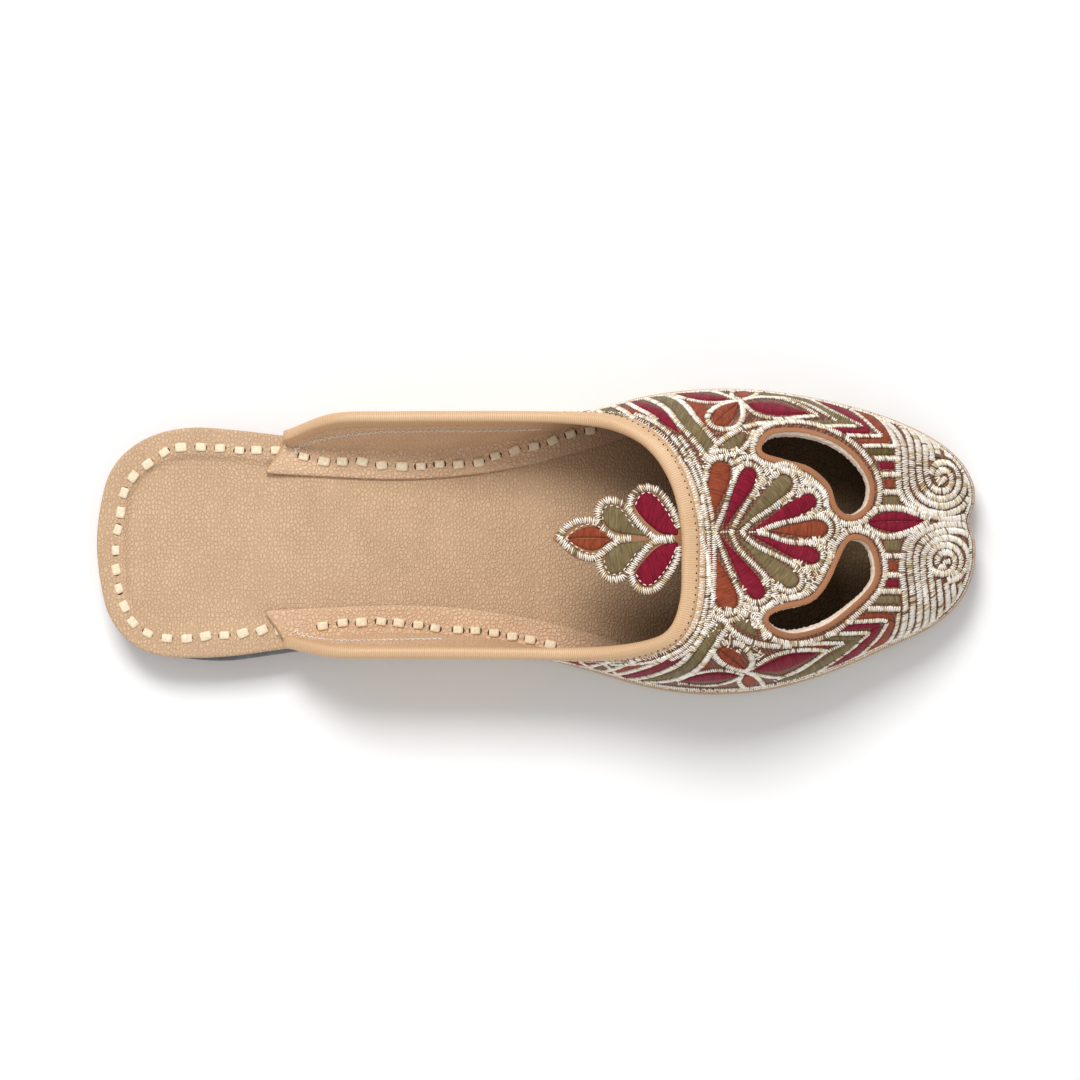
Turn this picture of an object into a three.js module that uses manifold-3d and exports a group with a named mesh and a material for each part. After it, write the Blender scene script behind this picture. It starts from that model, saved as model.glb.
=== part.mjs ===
// A backless embroidered slipper, right shoe, standing on its sole.
// Millimetres, +X to the toe, +Y to the inner side of the foot, +Z up.
// Lengths along the shoe are first measured from the back of the heel and called s.
// The origin of the finished part is on the floor, under the middle of its bounding box.

import * as THREE from 'three';
import { mergeVertices } from 'three/addons/utils/BufferGeometryUtils.js';
import Module from 'manifold-3d';

const wasm = await Module();
wasm.setup();

// Driving sizes of the shoe.
const SHOE_LENGTH = 255.2;
const FIT_GAP = 0.3;
const SEAT_LENGTH = 57;
const BALL_BACK = 150;
const BALL_FRONT = 200;
const TOE_SPRING = 4;
const THROAT_HEIGHT = 50.5;

// Thickness of each layer under the foot.
const LIFT_THICKNESS = 4;
const OUTSOLE_THICKNESS = 3.6;
const WEDGE_THICKNESS = 3.8;
const FOOTBED_THICKNESS = 2.6;

// Heel pieces.
const LIFT_FRONT = 58;
const LIFT_INSET = 1.2;
const WEDGE_FRONT = 105;
const WEDGE_INSET = 0.3;
const WEDGE_FADE_BACK = 50;
const WEDGE_FADE_FRONT = 128;
const WEDGE_FLARE = { out: 1.5, start: 18, full: 40, easing: 52, end: 78 };
const SEAT_DISH = { depth: 1.1, edge: 7, slope: 2.4, easing: 40, end: 62 };

// Upper, its turned-in margin and its edge binding.
const WALL = 2.2;
const FOOT_INSET_WAIST = 1;
const FOOT_INSET_TOE = 2.3;
const MARGIN_THICKNESS = 1.3;
const MARGIN_WIDTH_WAIST = 7.5;
const MARGIN_WIDTH_TOE = 4.5;
const MARGIN_TIP = { reach: 6, rows: 0.5 };
const BINDING_THICKNESS = 3.4;
const BINDING_PROUD = 0.6;
const BINDING_HEIGHT = 4.5;
const BINDING_SHARE_OF_RIB = 0.4;

// Curvature of the ribs that run from the topline to the foot: 1 is straight, 2 an ellipse.
const QUARTER_CURVE = 1.1;
const BALL_CROWN = 2.2;
const TOE_CROWN = 1.05;
const BALL_SHOULDER = 2;
const TOE_SHOULDER = 1.9;

// Tongue. Its slopes are falls for each millimetre along the shoe.
const TONGUE_THICKNESS = 1.6;
const TONGUE_CROWN = 0.2;
const TONGUE_DROOP = 0.07;
const TONGUE_HEM = 7.5;
const TONGUE_HEM_SLOPE = 0.3;
const TONGUE_CLEARANCE = 0.3;

// Line from heel to toe that the layers are meshed towards. It swings inwards at the toe.
const SPINE_BACK = 25;
const SPINE_FRONT = 215;
const TOE_SWING = { y: 4, start: 165, full: 245 };

// Outline of the sole seen from above. left is the inner side and right the outer side,
// both as distances from the long axis. The last row is the middle of the toe.
const OUTLINE = [
  { s: 0.0, left: 0.0, right: 0.0 },
  { s: 0.9, left: 10.0, right: 10.0 },
  { s: 3.4, left: 19.6, right: 20.4 },
  { s: 8.5, left: 26.4, right: 27.8 },
  { s: 16.5, left: 31.2, right: 32.4 },
  { s: 27.0, left: 33.3, right: 33.5 },
  { s: 40.0, left: 32.6, right: 32.9 },
  { s: 55.0, left: 30.9, right: 30.9 },
  { s: 70.0, left: 29.8, right: 29.8 },
  { s: 88.0, left: 29.4, right: 29.2 },
  { s: 106.0, left: 30.6, right: 30.0 },
  { s: 124.0, left: 33.6, right: 32.6 },
  { s: 141.0, left: 38.2, right: 36.6 },
  { s: 156.0, left: 42.5, right: 41.0 },
  { s: 168.0, left: 44.6, right: 43.4 },
  { s: 181.0, left: 45.5, right: 44.1 },
  { s: 194.0, left: 45.0, right: 43.0 },
  { s: 207.0, left: 43.1, right: 39.8 },
  { s: 219.0, left: 40.4, right: 35.4 },
  { s: 230.0, left: 37.0, right: 30.4 },
  { s: 239.5, left: 32.8, right: 26.2 },
  { s: 247.0, left: 28.0, right: 21.2 },
  { s: 252.0, left: 22.9, right: 15.4 },
  { s: 254.7, left: 17.6, right: 8.4 },
  { s: 255.3, left: 13.4, right: 3.0 },
  { s: 255.5, left: 9.6, right: -2.4 },
  { s: 255.6, left: 6.1, right: -6.1 },
];

// Dip in the middle of the toe, between its two lobes.
const TOE_DIP = { depth: 2, y: 6.1, width: 4.2 };

// Top edge of the upper, a row for each row of the outline from the quarter's back end on.
// sLeft and left place it on the inner side, sRight and right on the outer side.
const TOPLINE_START = 7;
const TOPLINE = [
  { sLeft: 54.5, left: 31.6, sRight: 54.5, right: 30.0, z: 20.0 },
  { sLeft: 69.0, left: 35.8, sRight: 69.0, right: 33.4, z: 31.4 },
  { sLeft: 86.5, left: 36.2, sRight: 86.5, right: 33.7, z: 34.0 },
  { sLeft: 104.0, left: 36.2, sRight: 104.0, right: 33.7, z: 34.3 },
  { sLeft: 121.0, left: 36.0, sRight: 121.0, right: 33.7, z: 35.0 },
  { sLeft: 134.0, left: 35.3, sRight: 134.0, right: 33.5, z: 36.4 },
  { sLeft: 144.5, left: 33.2, sRight: 144.8, right: 32.6, z: 40.0 },
  { sLeft: 151.8, left: 29.9, sRight: 152.2, right: 31.3, z: 43.6 },
  { sLeft: 157.2, left: 26.2, sRight: 157.6, right: 30.0, z: 46.6 },
  { sLeft: 161.0, left: 22.0, sRight: 161.8, right: 28.3, z: 48.6 },
  { sLeft: 163.5, left: 17.9, sRight: 164.6, right: 25.8, z: 49.6 },
  { sLeft: 165.2, left: 14.2, sRight: 166.3, right: 22.7, z: 50.1 },
  { sLeft: 166.3, left: 10.8, sRight: 167.3, right: 19.2, z: 50.3 },
  { sLeft: 167.0, left: 8.0, sRight: 167.9, right: 15.6, z: 50.4 },
  { sLeft: 167.4, left: 6.0, sRight: 168.1, right: 12.3, z: THROAT_HEIGHT },
  { sLeft: 167.7, left: 4.4, sRight: 168.2, right: 9.4, z: THROAT_HEIGHT },
  { sLeft: 167.9, left: 3.2, sRight: 168.3, right: 6.8, z: THROAT_HEIGHT },
  { sLeft: 168.1, left: 2.2, sRight: 168.4, right: 4.4, z: THROAT_HEIGHT },
  { sLeft: 168.2, left: 1.3, sRight: 168.4, right: 2.2, z: THROAT_HEIGHT },
  { sLeft: 168.3, left: 0.4, sRight: 168.3, right: -0.4, z: THROAT_HEIGHT },
];

// Crescent openings in the vamp, seen from above at the height of their rims.
const INNER_OPENING = [
  { s: 191.6, y: 25.0 },
  { s: 194.2, y: 28.9 },
  { s: 200.8, y: 29.6 },
  { s: 207.0, y: 28.4 },
  { s: 213.0, y: 25.6 },
  { s: 218.0, y: 21.0 },
  { s: 221.0, y: 15.2 },
  { s: 220.2, y: 9.8 },
  { s: 216.4, y: 7.0 },
  { s: 213.0, y: 9.2 },
  { s: 210.6, y: 15.5 },
  { s: 205.0, y: 20.6 },
  { s: 197.5, y: 22.9 },
];
const OUTER_OPENING = [
  { s: 193.3, y: -22.4 },
  { s: 195.6, y: -26.0 },
  { s: 201.5, y: -26.6 },
  { s: 209.0, y: -24.0 },
  { s: 216.5, y: -18.6 },
  { s: 221.2, y: -12.0 },
  { s: 222.6, y: -6.0 },
  { s: 220.4, y: -2.0 },
  { s: 215.6, y: -2.0 },
  { s: 212.8, y: -6.8 },
  { s: 209.6, y: -13.2 },
  { s: 204.6, y: -17.8 },
  { s: 198.0, y: -20.2 },
];
const OPENING_FLOOR = 16;
const OPENING_TOP = 60;
const OPENING_RIM = 37;
const OPENING_LEAN = { forward: 0.35, sideways: 0.4 };

// Half width of the five-lobed tongue from its tip to the hem under the vamp.
const TONGUE = [
  { s: 132.0, half: 0.8 },
  { s: 133.4, half: 3.2 },
  { s: 136.5, half: 5.4 },
  { s: 140.5, half: 6.5 },
  { s: 144.0, half: 6.8 },
  { s: 145.6, half: 9.6 },
  { s: 148.0, half: 12.0 },
  { s: 150.4, half: 12.2 },
  { s: 152.8, half: 10.6 },
  { s: 154.6, half: 13.0 },
  { s: 157.6, half: 15.3 },
  { s: 160.8, half: 14.8 },
  { s: 164.0, half: 12.0 },
  { s: 167.0, half: 9.0 },
  { s: 170.0, half: 8.0 },
  { s: 168.3 + TONGUE_HEM, half: 7.6 },
];

const TOE_ROW = OUTLINE.length - 1;
const LOOP_ROWS = 2 * TOE_ROW;
const QUARTER_TURN = Math.PI / 2;
const smooth = (from, to, x) => THREE.MathUtils.smoothstep(x, from, to);
const mix = THREE.MathUtils.lerp;

// One value between b and c on the curve through a, b, c and d.
function through(a, b, c, d, t) {
  const slope = c - a;
  const bend = 2 * a - 5 * b + 4 * c - d;
  const twist = 3 * b - a - 3 * c + d;
  return 0.5 * (2 * b + t * (slope + t * (bend + t * twist)));
}

// A point on a smooth curve through the points that at(row) gives.
function curveThrough(at, row) {
  const first = Math.floor(row);
  const t = row - first;
  const [a, b, c, d] = [at(first - 1), at(first), at(first + 1), at(first + 2)];
  return new THREE.Vector3(
    through(a.x, b.x, c.x, d.x, t),
    through(a.y, b.y, c.y, d.y, t),
    through(a.z, b.z, c.z, d.z, t),
  );
}

// Heights of the layers above the floor.
const springAt = (s) => TOE_SPRING * (Math.max(0, s - BALL_FRONT) / (SHOE_LENGTH - BALL_FRONT)) ** 2;
const seatAt = (s) => (LIFT_THICKNESS + FIT_GAP) * (1 - smooth(SEAT_LENGTH, BALL_BACK, s));
const outsoleBottom = (s) => seatAt(s) + springAt(s);
const outsoleTop = (s) => outsoleBottom(s) + OUTSOLE_THICKNESS;
const wedgeRise = (s) => (WEDGE_THICKNESS + FIT_GAP) * (1 - smooth(WEDGE_FADE_BACK, WEDGE_FADE_FRONT, s));
const footbedBottom = (s) => outsoleTop(s) + FIT_GAP + wedgeRise(s);
const footbedTop = (s) => footbedBottom(s) + FOOTBED_THICKNESS;
const footHeight = (s) => footbedTop(s) + FIT_GAP;

// The outline as one loop: rows 0 to 26 run up the inner side, rows 26 to 52 back down the outer side.
function outlineRow(row) {
  const turn = ((row % LOOP_ROWS) + LOOP_ROWS) % LOOP_ROWS;
  const inner = turn <= TOE_ROW;
  const entry = OUTLINE[inner ? turn : LOOP_ROWS - turn];
  return new THREE.Vector3(entry.s, inner ? entry.left : -entry.right, 0);
}
const fullOutlineAt = (row) => curveThrough(outlineRow, row);

// How far the toe's dip moves a point of the outline back.
function dipAt(point) {
  const across = (point.y - TOE_DIP.y) / TOE_DIP.width;
  return TOE_DIP.depth * Math.exp(-across * across) * smooth(SPINE_FRONT, SHOE_LENGTH, point.x);
}
function outlineAt(row) {
  const point = fullOutlineAt(row);
  point.x -= dipAt(point);
  return point;
}

// The middle of the foot beside a point of the outline.
function spineAt(s) {
  const along = THREE.MathUtils.clamp(s, SPINE_BACK, SPINE_FRONT);
  return new THREE.Vector3(along, TOE_SWING.y * smooth(TOE_SWING.start, TOE_SWING.full, along), 0);
}

// A point of the outline moved towards the spine.
function inward(point, distance) {
  const spine = spineAt(point.x);
  const reach = point.distanceTo(spine);
  return point.clone().lerp(spine, Math.min(1, distance / reach));
}

// The outline's row on the inner side at a length s.
function rowAtLength(s) {
  let low = 0;
  let high = TOE_ROW - 3;
  for (let step = 0; step < 40; step += 1) {
    const middle = (low + high) / 2;
    if (outlineAt(middle).x < s) low = middle;
    else high = middle;
  }
  return low;
}

// A geometry from points and triangles of point numbers, closed and facing outwards.
function closedGeometry(points, triangles) {
  const rough = new THREE.BufferGeometry();
  rough.setAttribute('position', new THREE.Float32BufferAttribute(points.flatMap((p) => p.toArray()), 3));
  rough.setIndex(triangles.flat());
  const merged = mergeVertices(rough, 0.001);
  const index = Array.from(merged.index.array);
  const kept = [];
  for (let i = 0; i < index.length; i += 3) {
    const [a, b, c] = index.slice(i, i + 3);
    if (a !== b && b !== c && c !== a) kept.push(a, b, c);
  }
  const position = merged.getAttribute('position');
  const corner = [new THREE.Vector3(), new THREE.Vector3(), new THREE.Vector3()];
  let volume = 0;
  for (let i = 0; i < kept.length; i += 3) {
    corner.forEach((vector, n) => vector.fromBufferAttribute(position, kept[i + n]));
    volume += corner[0].dot(corner[1].clone().cross(corner[2]));
  }
  if (volume < 0) kept.reverse();
  merged.setIndex(kept);
  return merged;
}

// Two triangles for the four-sided face a, b, c, d.
const quad = (a, b, c, d) => [[a, b, c], [a, c, d]];

// A layer under the foot: rings step in from its edge to the spine, on its top and its underside.
function layer(edge, insets, top, bottom) {
  const points = [];
  const triangles = [];
  const rings = [...insets, Infinity];
  const count = edge.length;
  for (const height of [top, bottom]) {
    for (const inset of rings) {
      for (const point of edge) {
        const moved = inset === Infinity ? spineAt(point.x) : inward(point, inset);
        moved.z = height(moved.x, inset);
        points.push(moved);
      }
    }
  }
  const underside = rings.length * count;
  for (let i = 0; i < count; i += 1) {
    const next = (i + 1) % count;
    for (let ring = 0; ring + 1 < rings.length; ring += 1) {
      const outer = ring * count;
      const inner = outer + count;
      triangles.push(...quad(outer + i, outer + next, inner + next, inner + i));
      triangles.push(...quad(
        underside + inner + i, underside + inner + next, underside + outer + next, underside + outer + i,
      ));
    }
    triangles.push(...quad(underside + i, underside + next, next, i));
  }
  return closedGeometry(points, triangles);
}

// The whole outline, a point for each step of rows.
function wholeEdge(step) {
  const edge = [];
  for (let row = 0; row < LOOP_ROWS; row += step) edge.push(outlineAt(row));
  return edge;
}

// How far the wedge flares out on the outer side.
function flareAt(s) {
  const rise = smooth(WEDGE_FLARE.start, WEDGE_FLARE.full, s);
  return WEDGE_FLARE.out * rise * (1 - smooth(WEDGE_FLARE.easing, WEDGE_FLARE.end, s));
}

// The outline of the heel back to front, closed by a straight breast line at the length front.
function heelEdge(front, inset, flared) {
  const last = rowAtLength(front);
  const steps = 14;
  const side = [];
  for (let i = 0; i <= steps; i += 1) side.push((last * i) / steps);
  const place = (row) => {
    const point = inward(outlineAt(row), inset);
    if (flared && point.y < 0) point.y -= flareAt(point.x);
    return point;
  };
  const inner = side.map(place);
  const outer = side.slice(1).map((row) => place(-row)).reverse();
  const from = inner[inner.length - 1];
  const to = outer[0];
  const breast = [0.25, 0.5, 0.75].map((t) => from.clone().lerp(to, t));
  return [...inner, ...breast, ...outer];
}

// The topline as one curve from the back of the inner quarter round the throat to the outer one.
function toplineRow(row) {
  const last = LOOP_ROWS - TOPLINE_START;
  const beyond = (end, before) => toplineRow(end).multiplyScalar(2).sub(toplineRow(before));
  if (row < TOPLINE_START) return beyond(TOPLINE_START, TOPLINE_START + 1);
  if (row > last) return beyond(last, last - 1);
  const inner = row <= TOE_ROW;
  const entry = TOPLINE[(inner ? row : LOOP_ROWS - row) - TOPLINE_START];
  return new THREE.Vector3(inner ? entry.sLeft : entry.sRight, inner ? entry.left : -entry.right, entry.z);
}

// Where the upper's outer face would meet the footbed without the toe's dip.
function footAt(row) {
  const side = Math.min(row, LOOP_ROWS - row);
  const foot = inward(fullOutlineAt(row), mix(FOOT_INSET_WAIST, FOOT_INSET_TOE, smooth(10, 15, side)));
  foot.z = footHeight(foot.x);
  return foot;
}

// The upper's outer face. A rib runs from the topline, angle 0, to the foot, a quarter turn.
// It is nearly straight on the quarters, domed at the ball and flatter towards the toe.
function faceAt(row, angle) {
  const side = Math.min(row, LOOP_ROWS - row);
  const rim = curveThrough(toplineRow, row);
  const foot = footAt(row);
  const atBall = smooth(11, 16, side);
  const atToe = smooth(16, 24, side);
  const crown = mix(mix(QUARTER_CURVE, BALL_CROWN, atBall), TOE_CROWN, atToe);
  const shoulder = mix(mix(QUARTER_CURVE, BALL_SHOULDER, atBall), TOE_SHOULDER, atToe);
  const out = Math.sin(angle) ** (2 / crown);
  const up = Math.cos(angle) ** (2 / shoulder);
  const dip = dipAt(foot) * out ** 5;
  return new THREE.Vector3(mix(rim.x, foot.x, out) - dip, mix(rim.y, foot.y, out), mix(foot.z, rim.z, up));
}

// Outward direction of the upper's face.
function faceNormal(row, angle) {
  const low = Math.max(0, angle - 0.03);
  const high = Math.min(QUARTER_TURN, angle + 0.03);
  const along = faceAt(row + 0.05, angle).sub(faceAt(row - 0.05, angle));
  const down = faceAt(row, high).sub(faceAt(row, low));
  return along.cross(down).normalize();
}

// Length of a rib, and the angle at a distance down it from the topline.
function ribLength(row) {
  const steps = 24;
  let length = 0;
  for (let i = 0; i < steps; i += 1) {
    const here = faceAt(row, (QUARTER_TURN * i) / steps);
    length += here.distanceTo(faceAt(row, (QUARTER_TURN * (i + 1)) / steps));
  }
  return length;
}
function angleAtDistance(row, distance) {
  const steps = 240;
  let length = 0;
  let here = faceAt(row, 0);
  for (let i = 1; i <= steps; i += 1) {
    const angle = (QUARTER_TURN * i) / steps;
    const next = faceAt(row, angle);
    length += here.distanceTo(next);
    if (length >= distance) return angle;
    here = next;
  }
  return QUARTER_TURN;
}
const bindingHeight = (row) => Math.min(BINDING_HEIGHT, BINDING_SHARE_OF_RIB * ribLength(row));

// A solid skinned over a row of sections. The points of a section run down one face and up the
// other, so that its two ends are closed by crossing between the faces.
function skin(sections) {
  const points = sections.flat();
  const count = sections[0].length;
  const triangles = [];
  for (let i = 0; i + 1 < sections.length; i += 1) {
    for (let j = 0; j < count; j += 1) {
      const next = (j + 1) % count;
      const here = i * count;
      const there = here + count;
      triangles.push(...quad(here + j, here + next, there + next, there + j));
    }
  }
  const end = (sections.length - 1) * count;
  for (let j = 0; j + 1 < count / 2; j += 1) {
    const far = count - 1 - j;
    triangles.push(...quad(far, far - 1, j + 1, j));
    triangles.push(...quad(end + j, end + j + 1, end + far - 1, end + far));
  }
  return closedGeometry(points, triangles);
}

// Rows of the upper's ribs, closer together at the quarters' back ends, where the topline climbs.
function ribRows() {
  const rows = [];
  const last = LOOP_ROWS - TOPLINE_START;
  for (let row = TOPLINE_START + 1; row < last - 0.9; row += 0.5) rows.push(row);
  const back = [0, 0.12, 0.25, 0.4, 0.6, 0.8];
  return [...back.map((t) => TOPLINE_START + t), ...rows, ...back.map((t) => last - t).reverse()];
}

// One section of the upper: outer face, turned-in margin on the footbed, inner face.
function upperSection(row) {
  const steps = 9;
  const start = angleAtDistance(row, bindingHeight(row) + FIT_GAP);
  const outer = [];
  const inner = [];
  for (let i = 0; i <= steps; i += 1) {
    const angle = mix(start, QUARTER_TURN, i / steps);
    const point = faceAt(row, angle);
    outer.push(point);
    inner.push(point.clone().addScaledVector(faceNormal(row, angle), -WALL));
  }
  const side = Math.min(row, LOOP_ROWS - row);
  const width = mix(MARGIN_WIDTH_WAIST, MARGIN_WIDTH_TOE, smooth(12, 20, side));
  const root = inward(outer[steps], WALL);
  root.z = outer[steps].z + MARGIN_THICKNESS;
  inner[steps] = root;
  const leastStep = 0.05;
  inner.forEach((point, i) => {
    point.z = Math.max(point.z, root.z + leastStep * (steps - i));
  });
  const under = inward(outer[steps], WALL + width);
  under.x -= MARGIN_TIP.reach * Math.exp(-(((side - TOPLINE_START) / MARGIN_TIP.rows) ** 2));
  under.z = footHeight(under.x);
  const over = under.clone();
  over.z += MARGIN_THICKNESS;
  return [...outer, under, over, ...inner.reverse()];
}

// One section of the binding that wraps the topline, rounded over the top.
function bindingSection(row) {
  const height = bindingHeight(row);
  const low = angleAtDistance(row, height);
  const middle = angleAtDistance(row, height * 0.4);
  const place = (angle, lift) => faceAt(row, angle).addScaledVector(faceNormal(row, angle), lift);
  const rise = faceAt(row, 0).sub(faceAt(row, middle)).setLength(BINDING_PROUD * 0.8);
  const outside = BINDING_PROUD;
  const inside = BINDING_PROUD - BINDING_THICKNESS;
  return [
    place(0, mix(outside, inside, 0.15)).add(rise),
    place(0, mix(outside, inside, 0.05)),
    place(middle, outside),
    place(low, outside),
    place(low, inside),
    place(middle, inside),
    place(0, mix(outside, inside, 0.85)),
    place(0, mix(outside, inside, 0.65)).add(rise),
  ];
}

// A closed geometry as a solid for cutting, and back.
function toSolid(geometry) {
  const bare = new THREE.BufferGeometry();
  bare.setAttribute('position', geometry.getAttribute('position').clone());
  if (geometry.index) bare.setIndex(geometry.index.clone());
  const merged = mergeVertices(bare, 0.0001);
  return new wasm.Manifold(new wasm.Mesh({
    numProp: 3,
    vertProperties: new Float32Array(merged.getAttribute('position').array),
    triVerts: new Uint32Array(merged.index.array),
  }));
}
function toGeometry(solid) {
  const mesh = solid.getMesh();
  const geometry = new THREE.BufferGeometry();
  geometry.setAttribute('position', new THREE.BufferAttribute(mesh.vertProperties, 3));
  geometry.setIndex(new THREE.BufferAttribute(mesh.triVerts, 1));
  return geometry;
}

// The cutter for a crescent opening: its outline drawn through the vamp, square to the face there.
function openingCutter(rows, sideways) {
  const corners = rows.map((entry) => new THREE.Vector3(entry.s, entry.y, 0));
  const outline = new THREE.CatmullRomCurve3(corners, true).getPoints(rows.length * 2);
  const shape = new THREE.Shape(outline.slice(0, -1).map((p) => new THREE.Vector2(p.x, p.y)));
  const depth = OPENING_TOP - OPENING_FLOOR;
  const geometry = new THREE.ExtrudeGeometry(shape, { depth, bevelEnabled: false });
  geometry.translate(0, 0, OPENING_FLOOR);
  const position = geometry.getAttribute('position');
  for (let i = 0; i < position.count; i += 1) {
    const above = position.getZ(i) - OPENING_RIM;
    position.setX(i, position.getX(i) + OPENING_LEAN.forward * above);
    position.setY(i, position.getY(i) + sideways * above);
  }
  return toSolid(geometry);
}

// The upper: quarters and vamp in one shell, with its two crescent openings.
function upperGeometry() {
  const shell = toSolid(skin(ribRows().map(upperSection)));
  const innerCut = openingCutter(INNER_OPENING, OPENING_LEAN.sideways);
  const outerCut = openingCutter(OUTER_OPENING, -OPENING_LEAN.sideways);
  return toGeometry(shell.subtract(innerCut).subtract(outerCut));
}

// The tongue: a flat leaf behind the throat, its hem tucked under the binding and the vamp.
function tongueGeometry() {
  const throat = faceAt(TOE_ROW, 0);
  const ceiling = throat.z - (BINDING_THICKNESS - BINDING_PROUD) - FIT_GAP - TONGUE_CLEARANCE;
  const edgeTopAt = (s) => {
    const behind = Math.max(0, throat.x - s);
    const under = Math.max(0, s - throat.x);
    return ceiling - TONGUE_DROOP * behind - TONGUE_HEM_SLOPE * under;
  };
  const sections = TONGUE.map(({ s, half }) => {
    const top = edgeTopAt(s);
    const crest = top + TONGUE_CROWN;
    return [
      new THREE.Vector3(s, half, top),
      new THREE.Vector3(s, 0, crest),
      new THREE.Vector3(s, -half, top),
      new THREE.Vector3(s, -half, top - TONGUE_THICKNESS),
      new THREE.Vector3(s, 0, crest - TONGUE_THICKNESS),
      new THREE.Vector3(s, half, top - TONGUE_THICKNESS),
    ];
  });
  return skin(sections);
}

// Surface finishes.
const leather = { roughness: 0.6, metalness: 0 };
const FINISH = {
  lift: new THREE.MeshStandardMaterial({ color: 0x8a3a2a, roughness: 0.7, metalness: 0 }),
  outsole: new THREE.MeshStandardMaterial({ color: 0x9a8250, ...leather }),
  wedge: new THREE.MeshStandardMaterial({ color: 0x80878a, roughness: 0.85, metalness: 0 }),
  footbed: new THREE.MeshStandardMaterial({ color: 0xc39b73, ...leather }),
  cloth: new THREE.MeshStandardMaterial({ color: 0x96644b, roughness: 0.8, metalness: 0 }),
  binding: new THREE.MeshStandardMaterial({ color: 0xe1be96, ...leather }),
  tongue: new THREE.MeshStandardMaterial({ color: 0x871932, roughness: 0.8, metalness: 0 }),
};

// The pieces from the floor up.
const dishBottom = SEAT_DISH.edge + SEAT_DISH.slope;
const plainRings = [0, 9, 20];
const footbedRings = [0, SEAT_DISH.edge, dishBottom, 20];
const dishAt = (s, inset) => {
  const inside = smooth(SEAT_DISH.edge, dishBottom, inset);
  return SEAT_DISH.depth * inside * (1 - smooth(SEAT_DISH.easing, SEAT_DISH.end, s));
};
const pieces = {
  heel_lift: [
    layer(heelEdge(LIFT_FRONT, LIFT_INSET, false), plainRings, () => LIFT_THICKNESS, () => 0),
    FINISH.lift,
  ],
  outsole: [layer(wholeEdge(0.5), plainRings, outsoleTop, outsoleBottom), FINISH.outsole],
  heel_wedge: [
    layer(
      heelEdge(WEDGE_FRONT, WEDGE_INSET, true),
      plainRings,
      (s) => footbedBottom(s) - FIT_GAP,
      (s) => outsoleTop(s) + FIT_GAP,
    ),
    FINISH.wedge,
  ],
  footbed: [
    layer(wholeEdge(0.5), footbedRings, (s, inset) => footbedTop(s) - dishAt(s, inset), footbedBottom),
    FINISH.footbed,
  ],
  upper: [upperGeometry(), FINISH.cloth],
  topline_binding: [skin(ribRows().map(bindingSection)), FINISH.binding],
  tongue: [tongueGeometry(), FINISH.tongue],
};

const slipper = new THREE.Group();
const bounds = new THREE.Box3();
for (const [name, [geometry, material]] of Object.entries(pieces)) {
  const mesh = new THREE.Mesh(geometry, material);
  mesh.name = name;
  slipper.add(mesh);
  bounds.expandByObject(mesh);
}

// The part's own frame: the middle of the footprint over the origin.
const centre = bounds.getCenter(new THREE.Vector3());
slipper.position.set(-centre.x, -centre.y, 0);

export default slipper;
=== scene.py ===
"""Blender model of a backless embroidered slipper, a right shoe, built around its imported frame.

Lengths are millimetres in the shoe's own coordinates until a mesh is made: s runs from the back of
the heel to the toe, y towards the inner side of the foot, and z up from the floor. A rib is a line
on the upper from its top edge down to the foot. Ribs are numbered by row, like the outline.
A line in a table is one flat row of numbers: s and y of each of its points in turn.
"""
import logging
import math
from collections.abc import Callable
from dataclasses import dataclass, field
from enum import Enum

import bmesh
import bpy
import numpy as np
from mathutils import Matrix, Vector
from mathutils.bvhtree import BVHTree


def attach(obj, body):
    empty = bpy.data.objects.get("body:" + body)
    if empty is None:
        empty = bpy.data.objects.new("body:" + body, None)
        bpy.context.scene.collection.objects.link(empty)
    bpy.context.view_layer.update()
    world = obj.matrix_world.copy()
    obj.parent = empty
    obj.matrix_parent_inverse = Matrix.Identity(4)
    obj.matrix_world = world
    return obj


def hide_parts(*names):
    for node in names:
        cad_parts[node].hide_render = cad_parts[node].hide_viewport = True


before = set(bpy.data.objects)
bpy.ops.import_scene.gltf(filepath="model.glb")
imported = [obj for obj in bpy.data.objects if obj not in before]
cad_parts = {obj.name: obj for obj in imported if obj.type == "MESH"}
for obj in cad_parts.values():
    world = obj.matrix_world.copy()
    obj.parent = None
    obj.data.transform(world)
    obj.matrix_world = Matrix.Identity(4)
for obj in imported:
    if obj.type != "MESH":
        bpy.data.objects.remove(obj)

Array = np.ndarray
Spots = tuple[Array, Array]
Triple = tuple[float, float, float]
Line = tuple[float, ...]
Colour = tuple[int, int, int]

log = logging.getLogger("slipper")
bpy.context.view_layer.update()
ROOT = "root"
MM = 0.001
QUARTER_TURN = math.pi / 2
STITCH_STEP = 0.45


# Small maths


def smooth(low: float, high: float, x: Array | float) -> Array | float:
    """Ease from 0 at low to 1 at high.

    Args:
        low: Where the rise begins.
        high: Where the rise is complete.
        x: One value or an array.

    Returns:
        The eased share, between 0 and 1.
    """
    t = np.clip((np.asarray(x, float) - low) / (high - low), 0.0, 1.0)
    return t * t * (3 - 2 * t)


def mix(a: Array | float, b: Array | float, t: Array | float) -> Array | float:
    """The value a share t of the way from a to b."""
    return a + (b - a) * t


def unit(vectors: Array) -> Array:
    """Vectors scaled to a length of 1."""
    length = np.linalg.norm(vectors, axis=-1, keepdims=True)
    return vectors / np.maximum(length, 1e-9)


def table_rows(table: Array, index: Array, closed: bool) -> Array:
    """Rows of a table, carried on straight beyond its ends unless it is closed.

    Args:
        table: One point a row.
        index: Whole row numbers, also beyond the ends.
        closed: Whether the last row leads back to the first.

    Returns:
        One point for each number.
    """
    count = len(table)
    if closed:
        return table[index % count]
    inside = table[np.clip(index, 0, count - 1)]
    before = np.minimum(index, 0)[:, None] * (table[1] - table[0])
    after = np.maximum(index - count + 1, 0)[:, None] * (table[-1] - table[-2])
    return inside + before + after


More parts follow.
